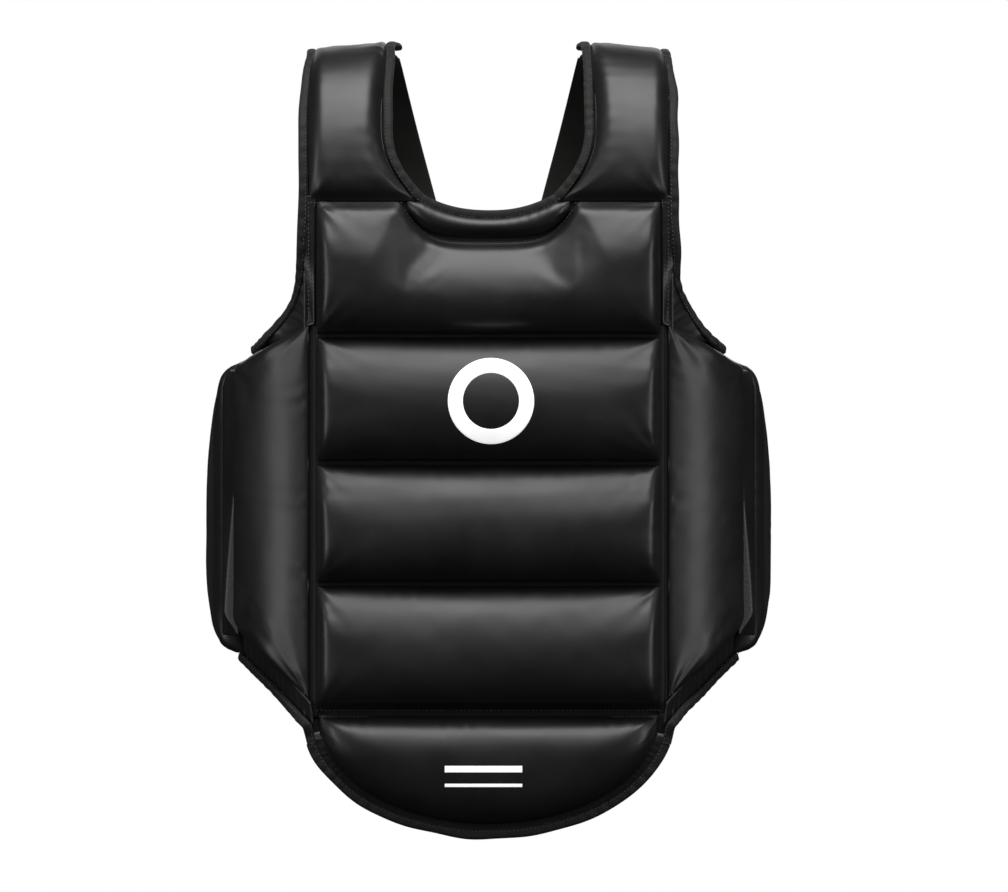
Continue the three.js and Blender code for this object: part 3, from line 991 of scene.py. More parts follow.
def report(piece: bpy.types.Object) -> None:
    """Log a finished piece and its face count."""
    log.info("%s: %d faces", piece.name, len(piece.data.polygons))


# ---- tape, stitches and sheets
@dataclass
class Workshop:
    """What every sub-assembly works with."""

    layout: Layout
    bench: PadBench
    wardrobe: Wardrobe

    def fasten(
        self,
        piece: bpy.types.Object,
        finish: Finish,
        slot: str,
        bodies: Sequence[str],
        bend: Bend | None = None,
        replaces: Sequence[str] = (),
    ) -> bpy.types.Object:
        """Give a piece its finish and its place in the frame.

        Args:
            piece: the finished mesh.
            finish: what it is made of.
            slot: the record's material slot; not used.
            bodies: the body it rides on when there is no bend; with a bend it is not used.
            bend: start and end of a bend; when given, the piece is left where it is, on no body.
            replaces: CAD nodes that it stands for.

        Returns:
            The same piece.
        """
        self.wardrobe.dress(piece, finish)
        if replaces:
            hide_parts(*replaces)
        if bend is None:
            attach(piece, bodies[0])
        else:
            tuple(bend[0])
            tuple(bend[1])
            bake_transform(piece)
        report(piece)
        return piece


@dataclass(frozen=True)
class Tape:
    """Edge binding folded over a raw edge: a flat loop with a stitched valley near its inner side."""

    width: float = 0.0074
    height: float = 0.0052
    step: float = 0.0016
    puff: float = 0.00022
    seed: int = 5

    def profile(self) -> Array:
        """A soft superellipse, with its outer side a little fuller."""
        outline = rounded_profile(self.width, self.height, 18, 2.7)
        outline[:, 1] *= 1 + 0.16 * outline[:, 0] / self.width
        return outline

    def arrays(self, path: Array, normals: Array, turn: float) -> tuple[Array, Array, Array]:
        """Sweep the profile along an edge, with small gathers where it is stitched."""
        path, normals = resample(path, normals, self.step)
        along = lengths_along(path)
        waves = self.puff * ripple(along, 0.012, self.seed)
        drift = 0.00035 * ripple(along, 0.07, self.seed + 3)
        tangent = unit(np.gradient(path, axis=0))
        across = turn * np.cross(tangent, normals)
        moved = path + normals * waves[:, None] + across * drift[:, None]
        return sweep_arrays(moved, normals, self.profile(), turn)


@dataclass(frozen=True)
class Stitching:
    """A row of lock stitches: short rounded bars of thread, each dipping at its ends."""

    pitch: float = 0.0034
    length: float = 0.0025
    radius: float = 0.00042
    sides: int = 5

    def arrays(self, path: Array, normals: Array) -> Grids:
        """Place one bar at every pitch along a path.

        A bar has five rings of corners. The middle one is radius in half width, and the ends
        sink below the surface by most of the radius.

        Args:
            path: points on the surface, in the order of sewing.
            normals: the surface's normal at each.

        Returns:
            The points and faces of all the bars together.
        """
        centres, ups = resample(path, normals, self.pitch)
        tangent = unit(np.gradient(centres, axis=0))
        ups = unit(ups - (ups * tangent).sum(1, keepdims=True) * tangent)
        across = np.cross(tangent, ups)
        turn = np.linspace(0, 2 * np.pi, self.sides, endpoint=False)
        stations = np.array([-0.5, -0.36, 0.0, 0.36, 0.5]) * self.length
        sizes = np.array([0.15, 0.85, 1.0, 0.85, 0.15]) * self.radius
        sinks = np.array([-0.9, -0.25, 0.1, -0.25, -0.9]) * self.radius
        side = np.cos(turn)[None] * sizes[:, None]
        up = np.sin(turn)[None] * sizes[:, None] + sinks[:, None]
        rings = (
            centres[:, None, None]
            + stations[None, :, None, None] * tangent[:, None, None]
            + side[None, :, :, None] * across[:, None, None]
            + up[None, :, :, None] * ups[:, None, None]
        )
        count, rows, m = rings.shape[:3]
        ring = np.arange(rows * m).reshape(rows, m)
        body = grid_quads(np.concatenate([ring, ring[:, :1]], 1))
        fan = np.stack([ring[0, [0] * (m - 2)], ring[0, 1:-1], ring[0, 2:], ring[0, 2:]], 1)
        tail = np.stack([ring[-1, [0] * (m - 2)], ring[-1, 2:], ring[-1, 1:-1], ring[-1, 1:-1]], 1)
        one = np.concatenate([body, fan[:, ::-1], tail[:, ::-1]])
        quads = (one[None] + (np.arange(count) * rows * m)[:, None, None]).reshape(-1, 4)
        return rings.reshape(-1, 3), quads


def stitched_rows(name: str, rows: Sequence[Path]) -> bpy.types.Object:
    """One object that holds every bar of several rows of stitches."""
    made = [Stitching().arrays(path, normals) for path, normals in rows]
    return join_parts(name, made, [points[:, [0, 2]] for points, _ in made])


def sheet_object(name: str, outer: Array, inner: Array, ring: bool = False) -> bpy.types.Object:
    """A closed sheet between two grids, with its pattern in metres as its map."""
    points, quads = sheet_arrays(outer, inner, ring)
    across = lengths_along(outer[:, outer.shape[1] // 2])
    up = lengths_along(outer[outer.shape[0] // 2])
    flat = np.stack(np.meshgrid(across, up, indexing="ij"), -1).reshape(-1, 2)
    return new_mesh_object(name, points, quads, np.concatenate([flat, flat]))


def grid_area(points: Array) -> float:
    """Area of a grid of points, as the sum of its cells' triangles."""
    a, b, c, d = points[:-1, :-1], points[1:, :-1], points[1:, 1:], points[:-1, 1:]
    first = np.linalg.norm(np.cross(b - a, c - a), axis=-1).sum()
    return float(first + np.linalg.norm(np.cross(c - a, d - a), axis=-1).sum()) / 2


def declare_sheet(grid: Array) -> None:
    """Measure a sewn sheet's cut on its grid: the width and length along its middle lines, and its area.
    The cut is no narrower than 11 mm, and is scaled up where the surface is larger than its middle lines
    say. Nothing further is done with them.
    """
    width = lengths_along(grid[:, grid.shape[1] // 2])[-1]
    length = lengths_along(grid[grid.shape[0] // 2])[-1]
    area = grid_area(grid)


HANDS = {-1: "right", 1: "left"}


@dataclass
class SubAssembly:
    """One sewn sub-assembly: it queues its pads, and finishes its pieces after the cloth run."""

    shop: Workshop
    side: int = 1
    pads: list[Pad] = field(default_factory=list)

    @property
    def hand(self) -> str:
        """The wearer's side that the pieces belong to."""
        return HANDS[self.side]

    def queue(self, pad: Pad) -> None:
        """Build a pad and have it blown up with the others."""
        self.pads.append(self.shop.bench.add(pad))

    def prepare(self) -> None:
        """Queue the pads."""

    def trimmings(self) -> None:
        """Build everything that isn't a pad."""

    def complete(self) -> None:
        """Finish the pads, then the rest."""
        for pad in self.pads:
            pad.complete(self.shop.wardrobe)
        self.trimmings()

    def sew(self, name: str, rows: Sequence[Path], *bodies: str, bend: Bend | None = None) -> None:
        """Sew rows of stitches that move with a body, or, given a bend, stay where they are on no body."""
        self.shop.fasten(stitched_rows(name, rows), Finish.THREAD, "binding", bodies, bend)

    def bind(
        self,
        edge: tuple[str, str],
        path: Path,
        tape: Tape,
        turn: float,
        inward: Callable[[Path], Array],
        bodies: Sequence[str],
        replaces: Sequence[str],
        bend: Bend | None = None,
    ) -> None:
        """Sweep a tape along an edge and sew its inner side.

        Args:
            edge: the names of the tape and of its row of stitches.
            path: the tape's middle line and the surface's normals.
            tape: the tape's size.
            turn: 1 or -1, for which side of the path is across.
            inward: the way from the middle line to the stitches, for each of their points.
            bodies: the body it rides on when there is no bend.
            replaces: CAD nodes that it stands for.
            bend: start and end of a bend; when given, the pieces are not attached to a body and stay where
                they are.
        """
        piece = new_mesh_object(edge[0], *tape.arrays(*path, turn))
        self.shop.fasten(piece, Finish.TAPE, "binding", bodies, bend, replaces)
        even, ups = resample(*path, 0.002)
        row = (even + inward((even, ups)) + ups * TAPE_SEWN_HEIGHT, ups)
        self.sew(edge[1], [row], *bodies, bend=bend)

    def cut(
        self,
        name: str,
        grids: Grids,
        finish: Finish,
        slot: str,
        bodies: Sequence[str],
        replaces: Sequence[str] = (),
        bend: Bend | None = None,
        cloth: bool = True,
    ) -> None:
        """Make a sheet from its outer and inner grids.

        Args:
            name: the piece's name.
            grids: the outer and inner grids.
            finish: what it is made of.
            slot: the record's material slot.
            bodies: the body it rides on when there is no bend.
            replaces: CAD nodes that it stands for.
            bend: start and end of a bend; when given, the piece is not attached to a body and stays where it
                is.
            cloth: whether its cut is measured as a sheet of cloth.
        """
        piece = sheet_object(name, *grids)
        if cloth:
            declare_sheet(grids[0])
        self.shop.fasten(piece, finish, slot, bodies, bend, replaces)

    def line_with(self, name: str, grids: Grids, bodies: Sequence[str], *rest: object) -> None:
        """Make a sheet of lining; the rest is as for a cut sheet."""
        self.cut(name, grids, Finish.LINING, "lining", bodies, *rest)


def laid_sheet(
    place: Place,
    outline: Outline,
    counts: tuple[int, int],
    heights: tuple[float, float],
    quilt: float,
    seed: int = 3,
) -> Grids:
    """Outer and inner grids of a sheet on a surface, with a faint unevenness.

    Args:
        place: the surface.
        outline: gives the pattern's u and v for fractions a across and b up.
        counts: points across and up.
        heights: the outer and inner heights over the surface.
        quilt: how far it wanders off its height.
        seed: which unevenness.

    Returns:
        The two grids.
    """
    a, b = np.meshgrid(np.linspace(0, 1, counts[0]), np.linspace(0, 1, counts[1]), indexing="ij")
    u, v = outline(a, b)
    flat = place(u, v, np.zeros_like(a))
    uneven = quilt * swell(flat, 0.035, seed)
    return place(u, v, heights[0] + uneven), place(u, v, heights[1] + uneven)


def loft(lines: Sequence[Array], across: int, thick: float, raised: Array | float = 0.0) -> Grids:
    """Outer and inner grids of a sheet stretched over lines of as many points.

    Between two lines a point is first * (1 - w) + second * w, moved out by raised along the
    sheet's normal.
    """
    at = np.linspace(0, len(lines) - 1, across)
    index = np.minimum(at.astype(int), len(lines) - 2)
    w = (at - index)[None, :, None]
    stack = np.stack(lines, 1)
    middle = stack[:, index] * (1 - w) + stack[:, index + 1] * w
    normal = unit(np.cross(np.gradient(middle, axis=0), np.gradient(middle, axis=1)))
    out = middle * np.array([1.0, 1.0, 0.0])
    normal = normal * (1 if (normal * out).sum() > 0 else -1)
    lift = np.broadcast_to(np.asarray(raised, float), middle.shape[:2])[..., None]
    return middle + normal * (lift + thick / 2), middle + normal * (lift - thick / 2)


def gathered(first: Array, second: Array, across: int, waves: Array, arch: tuple[float, float]) -> Grids:
    """A flange between two lines, whose gathers swell as sin(pi * (arch0 + arch1 * w)) across it."""
    swelling = np.sin(np.pi * (arch[0] + arch[1] * np.linspace(0, 1, across)[None]))
    return loft([first, second], across, FLANGE_THICK, waves[:, None] * swelling)


def facing(points: Array, normal: Sequence[float] | Array) -> Path:
    """A path whose points all face one way."""
    return points, np.broadcast_to(normal, points.shape)


def on_front(layout: Layout, u: Array, v: Array | float, t: float = STITCH_HEIGHT) -> Path:
    """A path on the front panel with its normals."""
    return facing(layout.front(u, v, t), FORWARD)


def turned_back(tilt: Array) -> Array:
    """Forward normals turned out to the wearer's left by angles."""
    return np.stack([np.sin(tilt), -np.cos(tilt), 0 * tilt], 1)


def outward(place: Place) -> Array:
    """The normal of a flat surface."""
    return unit(place(0.0, 0.0, 1.0) - place(0.0, 0.0, 0.0))


def beside(direction: Sequence[float]) -> Callable[[Path], Array]:
    """The way from a tape's middle to its stitches, on the side that a direction points to."""

    def inward(path: Path) -> Array:
        """Across the path and its normals."""
        across = np.cross(unit(np.gradient(path[0], axis=0)), path[1])
        return TAPE_SEWN_IN * np.sign((across @ direction).mean()) * across

    return inward


# ---- the front
@dataclass
class FrontPanel(SubAssembly):
    """Four horizontal channels, the collar pad and the lining behind them."""

    thickness: tuple[float, float, float, float] = (0.031, 0.032, 0.032, 0.032)
    side_share: float = 0.62
    side_fill: float = 0.090
    collar_half: float = 0.066
    seam_bend: float = 0.006

    def prepare(self) -> None:
        """Queue the channels and the collar."""
        seams = self.shop.layout.channel_seams()
        for number, (high, low) in enumerate(zip(seams, seams[1:]), 1):
            self.queue(self.channel(number, high, low))
        self.queue(self.collar())

    def channel(self, number: int, high: float, low: float) -> Pad:
        """One channel: full in its middle and thinner at its sides; the first one clears the collar."""
        layout = self.shop.layout
        half = layout.half

        def top(u: Array) -> Array:
            """Height of the upper seam, which runs under the collar on the first channel."""
            if number == 1:
                return np.where(np.abs(u) < COLLAR_REACH, collar_seam(u) - 0.0006, high + 0.0004)
            return np.full_like(u, high - 0.0006)

        def crown(ways: Sequence[Array]) -> Array:
            """A steep side that fills out towards the middle, over a round lower edge.

            Under the upper seam the face slopes out evenly until it is full. On the first channel
            the way to that seam is the least distance to it, since it curves under the collar.
            """
            left, right, below, above = ways
            side = np.minimum(left, right)
            filled = rise(side, self.side_fill)
            full = self.side_share + (1 - self.side_share) * filled
            if number == 1:
                seam = np.linspace(-half, half, 121)
                u = left - half
                far = np.hypot(u[..., None] - seam, (top(u) - above)[..., None] - top(seam))
                above = np.minimum(above, far.min(axis=-1))
            run = 0.032 + 0.025 * filled
            slope = 0.24 * rise(above, 0.006) + above / run
            return rise(side, 0.008, 2.3) * full * rise(below, 0.034, 2.2) * soft_least(slope, 1.0, 0.09)

        return Pad(
            f"front_channel_{number}",
            "front_panel",
            (f"channel_{number}_cover", f"channel_{number}_foam"),
            layout.front,
            between(-half, half, level(low), top),
            width=2 * half,
            height=high - low,
            thick=self.thickness[number - 1],
            crown=crown,
            ledge=(0.0012, 0.0012, 0.004 if number == 4 else 0.0016, 0.004 if number == 1 else 0.0016),
            spacing=0.0040,
            puckers=Puckers(reach=0.010, pitch=0.016, seed=10 * number),
        )

    def collar(self) -> Pad:
        """The narrow pad under the neck line."""
        half = self.collar_half
        ceiling = self.shop.layout.shoulder_seam - 0.0005

        return Pad(
            "front_collar",
            "front_panel",
            ("collar_cover", "collar_foam"),
            self.shop.layout.front,
            between(
                -half,
                half,
                lambda u: collar_seam(u) + 0.0008,
                lambda u: np.minimum(neck_line(u) + 0.0026, ceiling),
            ),
            width=2 * half,
            height=0.016,
            thick=0.0105,
            side_reach=0.018,
            seam_reach=0.009,
            ledge=(0.001, 0.001, 0.0026, 0.001),
            spacing=0.0022,
            push=0.0012,
            puckers=Puckers(depth=0.00012, reach=0.005, pitch=0.010, seed=71, corner=0.0002),
        )

    def trimmings(self) -> None:
        """Lining and the stitched lines of the collar, the shoulder seam and the bottom seam."""
        layout = self.shop.layout
        half = layout.half
        seams = layout.channel_seams()

        def top(u: Array) -> Array:
            """The neck line, and the shoulder seams beside it."""
            return np.where(np.abs(u) < NECK_REACH, neck_line(u), seams[0])

        outline = between(-half - 0.002, half + 0.002, level(seams[-1] - 0.0050), top)
        grids = laid_sheet(layout.front, outline, (97, 121), LINING_HEIGHTS, 0.00025)
        bend = ((0.0, -0.09, seams[-1] - self.seam_bend), (0.0, -0.09, seams[-1]))
        self.line_with("front_inner_lining", grids, BellyFlap.BODIES, ["front_lining"], bend)
        x = np.linspace(-0.0665, 0.0665, 90)
        rows = [on_front(layout, x, collar_seam(x) - 0.0014)]
        for side in (-1, 1):
            run = np.linspace(COLLAR_REACH, half + 0.003, 30) * side
            rows.append(on_front(layout, run, seams[0] - 0.0022))
        across = np.linspace(-half + 0.002, half - 0.002, 120)
        rows.append(on_front(layout, across, seams[-1] + 0.0018))
        self.sew("front_stitches", rows, "front_panel")


@dataclass
class BellyFlap(SubAssembly):
    """The rounded pad under the last channel, with its flange and lining."""

    BODIES: ClassVar[tuple[str, str]] = ("belly_flap", "front_panel")
    BEND: ClassVar[Bend] = ((0.0, -0.09, -0.560), (0.0, -0.09, -0.534))
    half: float = 0.138
    drop: float = 0.089
    span: float = 0.1366
    lining_half: float = 0.1445
    lining_drop: float = 0.092

    def depth_at(self, u: Array, half: float, drop: float) -> Array:
        """Depth of a half ellipse at u."""
        return drop * np.sqrt(np.maximum(1 - (u / half) ** 2, 0))

    def prepare(self) -> None:
        """Queue the pad."""
        top = self.shop.layout.flap_seam

        def low(u: Array) -> Array:
            """The lower edge: half an ellipse."""
            return top - self.depth_at(u, self.half, self.drop)

        def lean(a: Array) -> Array:
            """Cosine of the lower edge's slope, which shortens the way down to it."""
            u = lerp(-self.span, self.span, a)
            slope = self.drop * u / self.half**2 / np.sqrt(1 - (u / self.half) ** 2)
            return 1 / np.sqrt(1 + slope**2)

        pad = Pad(
            "flap_pad",
            "belly_flap",
            ("belly_flap_cover", "belly_flap_foam"),
            self.shop.layout.front,
            between(-self.span, self.span, low, level(top - 0.0002)),
            width=2 * self.span,
            height=self.drop,
            thick=0.026,
            side_reach=0.012,
            seam_reach=0.034,
            low_reach=0.040,
            ledge=(0.001, 0.001, 0.0015, 0.0028),
            spacing=0.0040,
            lean=lean,
            puckers=Puckers(reach=0.006, pitch=0.009, seed=51),
        )
        self.queue(pad)

    def rim(self, half: float, drop: float, t: Array | float, reach: float = 88) -> Array:
        """Points on an ellipse round the flap, to as many degrees either side of its bottom."""
        turn = np.radians(np.linspace(-reach, reach, 190))
        top = self.shop.layout.flap_seam
        return self.shop.layout.front(half * np.sin(turn), top - drop * np.cos(turn), t)

    def trimmings(self) -> None:
        """The gathered flange round the pad, tucked in at its ends, and the lining."""
        layout = self.shop.layout
        top = layout.flap_seam
        tucked = 0.0065 * smooth(np.abs(np.linspace(-88, 88, 190)), 77, 87)
        first = self.rim(self.half - 0.003, self.drop - 0.003, 0.0012 - tucked)
        second = self.rim(0.1450, 0.0950, 0.0010 - tucked)
        waves = 0.00016 * ripple(lengths_along(second), 0.006, 61)
        grids = gathered(first, second, 7, waves, (0.15, 0.85))
        self.cut("flap_flange", grids, Finish.LEATHER, "leather", self.BODIES, bend=self.BEND)

        def low(u: Array) -> Array:
            """The lining's lower edge, which reaches the hem."""
            return top - self.depth_at(u, self.lining_half, self.lining_drop)

        outline = between(-0.144, 0.144, low, level(top))
        grids = laid_sheet(layout.front, outline, (91, 31), LINING_HEIGHTS, 0.0002, 13)
        self.line_with("flap_inner_lining", grids, self.BODIES, ["belly_flap_lining"], self.BEND)
        x = np.linspace(-self.span + 0.002, self.span - 0.002, 120)
        self.sew("flap_seam_stitches", [on_front(layout, x, top - 0.0018)], "belly_flap")


def crest_stand(turns: Array) -> Array:
    """Height of an edge tape's middle over the strap: it climbs the pad's side at the crest."""
    return 0.0012 + 0.0090 * smooth(turns, 52, 92)


@dataclass
class NeckEdge(SubAssembly):
    """The tape round the neck, from one crest down and up to the other."""

    def path(self) -> Path:
        """The tape's middle line with its normals."""
        layout = self.shop.layout
        turns = np.linspace(101, 0.6, 70)
        z = layout.arch_height(turns)
        edge = strap_inner(z) - 0.0042 - 0.005 * smooth(turns, 84, 101)
        stand = crest_stand(turns)
        right = layout.strap(-1)(edge, turns, stand)
        left = layout.strap(1)(edge, turns, stand)[::-1]
        x = np.linspace(-0.0518, 0.0518, 60)
        middle, forward = on_front(layout, x, neck_line(x) + 0.0040, TAPE_HEIGHT)
        up = layout.strap_normal(turns)
        return np.concatenate([right, middle, left]), np.concatenate([up, forward, up[::-1]])

    def trimmings(self) -> None:
        """Bind the edge; its stitches lie away from the neck."""
        names = ("neck_tape", "neck_stitches")
        tape = Tape(width=0.0076, seed=21)
        away = beside((0.0, 0.0, -1.0))
        self.bind(names, self.path(), tape, 1.0, away, ["front_panel"], ["neck_binding"])


# ---- both sides
@dataclass
class ShoulderStrap(SubAssembly):
    """The front half of a shoulder strap, padded from the shoulder seam to just past the crest."""

    low: float = -1.1
    high: float = 103.0
    lining_high: float = 108.0

    def crown(self, ways: Sequence[Array]) -> Array:
        """Full across, with sides that get steep and a height that eases off at the crest."""
        left, right, below, above = ways
        crest = smooth(below, 0.085, 0.150)
        reach = lerp(0.013, 0.004, crest)
        across = rise(left, reach + 0.004 * (1 - crest)) * rise(right, reach)
        fill = 0.45 * rise(below, 0.012) + 0.55 * rise(below, 0.095)
        return across * (1 - 0.22 * crest) * fill * rise(above, 0.006)

    def outline(self, high: float, over: float) -> Outline:
        """Between the neck and arm edges, up to an angle round the arch; wider by over at the crest."""

        def at(a: Array, b: Array) -> tuple[Array, Array]:
            """The distance from the middle and the angle."""
            v = lerp(self.low, high, b)
            z = self.shop.layout.arch_height(v)
            wider = over * smooth(v, 35, 80)
            return lerp(strap_inner(z) - wider, strap_outer(z) + wider, a), v

        return at

    def prepare(self) -> None:
        """Queue the pad."""
        pad = Pad(
            f"{self.hand}_strap_pad",
            "front_panel",
            (f"{self.hand}_shoulder_pad_cover", f"{self.hand}_shoulder_pad_foam"),
            self.shop.layout.strap(self.side),
            self.outline(self.high, 0.0042),
            width=0.063,
            height=0.172,
            thick=0.0178,
            crown=self.crown,
            ledge=(0.0012, 0.0012, 0.0034, 0.0012),
            columns=False,
            spacing=0.0032,
            push=0.0016,
            puckers=Puckers(reach=0.012, pitch=0.014, seed=90 + self.side),
        )
        self.queue(pad)

    def trimmings(self) -> None:
        """The lining, which runs on over the crest, and the stitches over the shoulder seam."""
        layout = self.shop.layout
        outline = self.outline(self.lining_high, 0.0)
        grids = laid_sheet(layout.strap(self.side), outline, (31, 91), LINING_HEIGHTS, 0.0002, 23)
        self.line_with(
            f"{self.hand}_strap_lining",
            grids,
            ["front_panel", "back_harness"],
            [f"{self.hand}_shoulder_lining"],
            ((0.0, -0.012, 0.0), (0.0, 0.036, 0.0)),
        )
        x = np.linspace(0.0615, 0.1440, 60) * self.side
        row = on_front(layout, x, layout.shoulder_seam + 0.0026)
        self.sew(f"{self.hand}_shoulder_stitches", [row], "front_panel")


@dataclass
class SideEdge(SubAssembly):
    """The arm opening's tape, the plain leather inside it and the side seam."""

    seam_x: float = 0.1402
    corner_z: float = -0.208

    @property
    def bodies(self) -> list[str]:
        """The two bodies that the arm opening's edge lies on."""
        return ["front_panel", f"{self.hand}_wing"]

    def arm_path(self) -> Path:
        """The tape's middle line from behind the crest down to the rib pad, with its normals.

        Its outer edge stands 152 mm out down to z = -110 mm, then turns out as
        154 + 50 ((-z - 160) / 75)^2.2, and it leaves the front plane for the wing's.
        """
        layout = self.shop.layout
        turns = np.linspace(101, 0.6, 70)
        edge = strap_outer(layout.arch_height(turns)) + 0.0032
        over = layout.strap(1)(edge, turns, crest_stand(turns))
        z = np.linspace(-0.109, -0.2265, 90)
        reach = 0.1487 + 0.0018 * smooth(-z, 0.112, 0.150)
        x = reach + 0.050 * (np.maximum(-z - 0.160, 0) / 0.075) ** 2.2
        stand = 0.0015 + 0.012 * smooth(x, 0.155, 0.190) - 0.008 * smooth(x, 0.180, 0.189)
        c, s = math.cos(layout.wing_angle), math.sin(layout.wing_angle)
        u = np.maximum((x - 0.141 - s * stand) / c, 0)
        on_wing = layout.chest_y + u * s - stand * c
        y = lerp(layout.chest_y - TAPE_HEIGHT, on_wing, smooth(-z, 0.135, 0.188))
        down = np.stack([x, y, z], 1)
        tilt = layout.wing_angle * smooth(-z, 0.140, 0.200)
        path = np.concatenate([over, down])
        normals = np.concatenate([layout.strap_normal(turns), turned_back(tilt)])
        mirror = np.array([self.side, 1.0, 1.0])
        return path * mirror, normals * mirror

    def inner_line(self) -> Array:
        """The plain leather's inner edge: down the side seam, then along the wing pad's top."""
        layout = self.shop.layout
        z = np.linspace(layout.shoulder_seam + 0.003, -0.2065, 40)
        seam = layout.front(self.side * np.full_like(z, self.seam_x - 0.0012), z, 0.0012)
        u = np.linspace(0.002, 0.070, 30)
        along = layout.wing(self.side)(u, wing_crest(u) - 0.003, 0.0016)
        return np.concatenate([seam, along])

    def trimmings(self) -> None:
        """Build the tape, the plain leather, and the side seam with its stitches."""
        layout = self.shop.layout
        bend = ((self.side * 0.150, -0.09, -0.165), (self.side * 0.150, -0.09, -0.205))
        path = self.arm_path()
        names = (f"{self.hand}_armhole_tape", f"{self.hand}_armhole_stitches")
        replaced = [f"{self.hand}_armhole_binding", f"{self.hand}_wing_top_binding"]
        inward = beside((-self.side, 0.0, 0.0))
        self.bind(names, path, Tape(seed=31 + self.side), self.side, inward, self.bodies, replaced, bend)
        below = path[0][path[0][:, 2] < layout.shoulder_seam + 0.004]
        second = evenly(below[below[:, 1] < 0.02], 110)
        first = evenly(self.inner_line(), 110)
        corner = np.array([self.side * self.seam_x, layout.chest_y, self.corner_z])
        w = np.linspace(0, 1, 13)[None]
        points = first[:, None] * (1 - w[..., None]) + second[:, None] * w[..., None]
        away = np.linalg.norm(points - corner, axis=-1)
        heading = np.arctan2(points[..., 2] - corner[2], (points[..., 0] - corner[0]) * self.side)
        folds = 0.0009 * ripple(heading, 0.50, 44) * np.exp(-away / 0.026) * smooth(away, 0.002, 0.016)
        gathers = 0.0002 * ripple(lengths_along(second), 0.013, 45)[:, None] * w**2
        grids = loft([first, second], 13, 0.0013, folds + gathers)
        replaced = [f"{self.hand}_side_panel"]
        name = f"{self.hand}_arm_apron"
        self.cut(name, grids, Finish.LEATHER, "leather", self.bodies, replaced, bend)
        self.side_seam()

    def side_seam(self) -> None:
        """The sunken, creased strip between the channels and the wing, and the stitches beside it."""
        layout = self.shop.layout
        z = np.linspace(layout.shoulder_seam - 0.001, -0.5285, 260)
        section = ((0.1368, -0.0008), (0.1412, -0.0052), (0.1480, -0.0035))
        lines = [layout.front(np.full_like(z, self.side * x), z, t) for x, t in section]
        w = np.linspace(0, 1, 9)[None]
        slant = z[:, None] + 0.008 * w
        patchy = 0.5 + 0.5 * ripple(z, 0.12, 47 + self.side)[:, None]
        creases = 0.0003 * patchy * ripple(slant, 0.0075, 37 + self.side) * np.sin(np.pi * w)
        grids = loft(lines, 9, 0.0014, creases)
        bend = ((self.side * 0.1375, layout.chest_y, -0.36), (self.side * 0.1450, layout.chest_y, -0.36))
        name = f"{self.hand}_side_seam"
        self.cut(name, grids, Finish.LEATHER, "leather", self.bodies, bend=bend, cloth=False)
        wing = layout.wing(self.side)
        low = np.linspace(-0.2095, -0.507, 150)
        row = facing(wing(0.0036, low, 0.0022), outward(wing))
        self.sew(f"{self.hand}_wing_stitches", [row], f"{self.hand}_wing")
        high = np.linspace(layout.shoulder_seam - 0.003, -0.204, 60)
        row = on_front(layout, self.side * 0.1440, high, 0.0022)
        self.sew(f"{self.hand}_side_stitches", [row], "front_panel")


@dataclass
class FrontWing(SubAssembly):
    """The pad that folds back from the side seam, with its lining and lower flange."""

    thick: float = 0.025

    def lower(self, u: Array) -> Array:
        """Height of the pad's lower edge."""
        return -0.5105 + 0.66 * u

    def hem(self, u: Array) -> Array:
        """Height of the edge tape's middle below it."""
        return -0.5264 + 0.572 * u

    def crown(self, ways: Sequence[Array]) -> Array:
        """A ramp that faces forward beside the seam, then a face that fills out to a sharp crease."""
        left, right, below, above = ways
        ramp = 0.10 * rise(left, 0.002) + 0.64 * left / self.thick
        face = 0.78 + 0.22 * rise(np.maximum(left - 0.020, 0), 0.058)
        across = soft_least(ramp, face, 0.05) * rise(right, 0.006, 2.4)
        return np.clip(across, 0, 1) * rise(below, 0.020, 2.3) * rise(above, 0.013, 2.3)

    def prepare(self) -> None:
        """Queue the pad."""
        pad = Pad(
            f"{self.hand}_wing_pad",
            f"{self.hand}_wing",
            (f"{self.hand}_wing_cover", f"{self.hand}_wing_foam"),
            self.shop.layout.wing(self.side),
            between(0.0015, 0.0838, self.lower, wing_crest),
            width=0.0823,
            height=0.270,
            thick=self.thick,
            crown=self.crown,
            ledge=(0.0018, 0.0002, 0.002, 0.002),
            spacing=0.0036,
            push=0.0015,
            puckers=Puckers(reach=0.011, pitch=0.017, seed=111 + self.side, corner=0.0004),
        )
        self.queue(pad)

    def trimmings(self) -> None:
        """The lining and the gathered flange along the lower edge."""
        layout = self.shop.layout
        wing = layout.wing(self.side)

        outline = between(0.002, 0.084, lambda u: wing_bottom(u) - 0.006, lambda u: wing_top(u) + 0.005)
        grids = laid_sheet(wing, outline, (25, 81), LINING_HEIGHTS, 0.0002, 33)
        body = f"{self.hand}_wing"
        self.line_with(f"{self.hand}_wing_inner_lining", grids, [body], [f"{self.hand}_wing_lining"])
        u = np.linspace(-0.004, 0.090, 90)
        first = wing(u, self.lower(u) + 0.0035, 0.0048)
        second = wing(u, self.hem(u) + 0.001, 0.0022)
        waves = 0.00010 * ripple(lengths_along(second), 0.009, 55)
        grids = gathered(first, second, 9, waves, (0.1, 0.8))
        self.cut(f"{self.hand}_wing_flange", grids, Finish.LEATHER, "leather", [body])


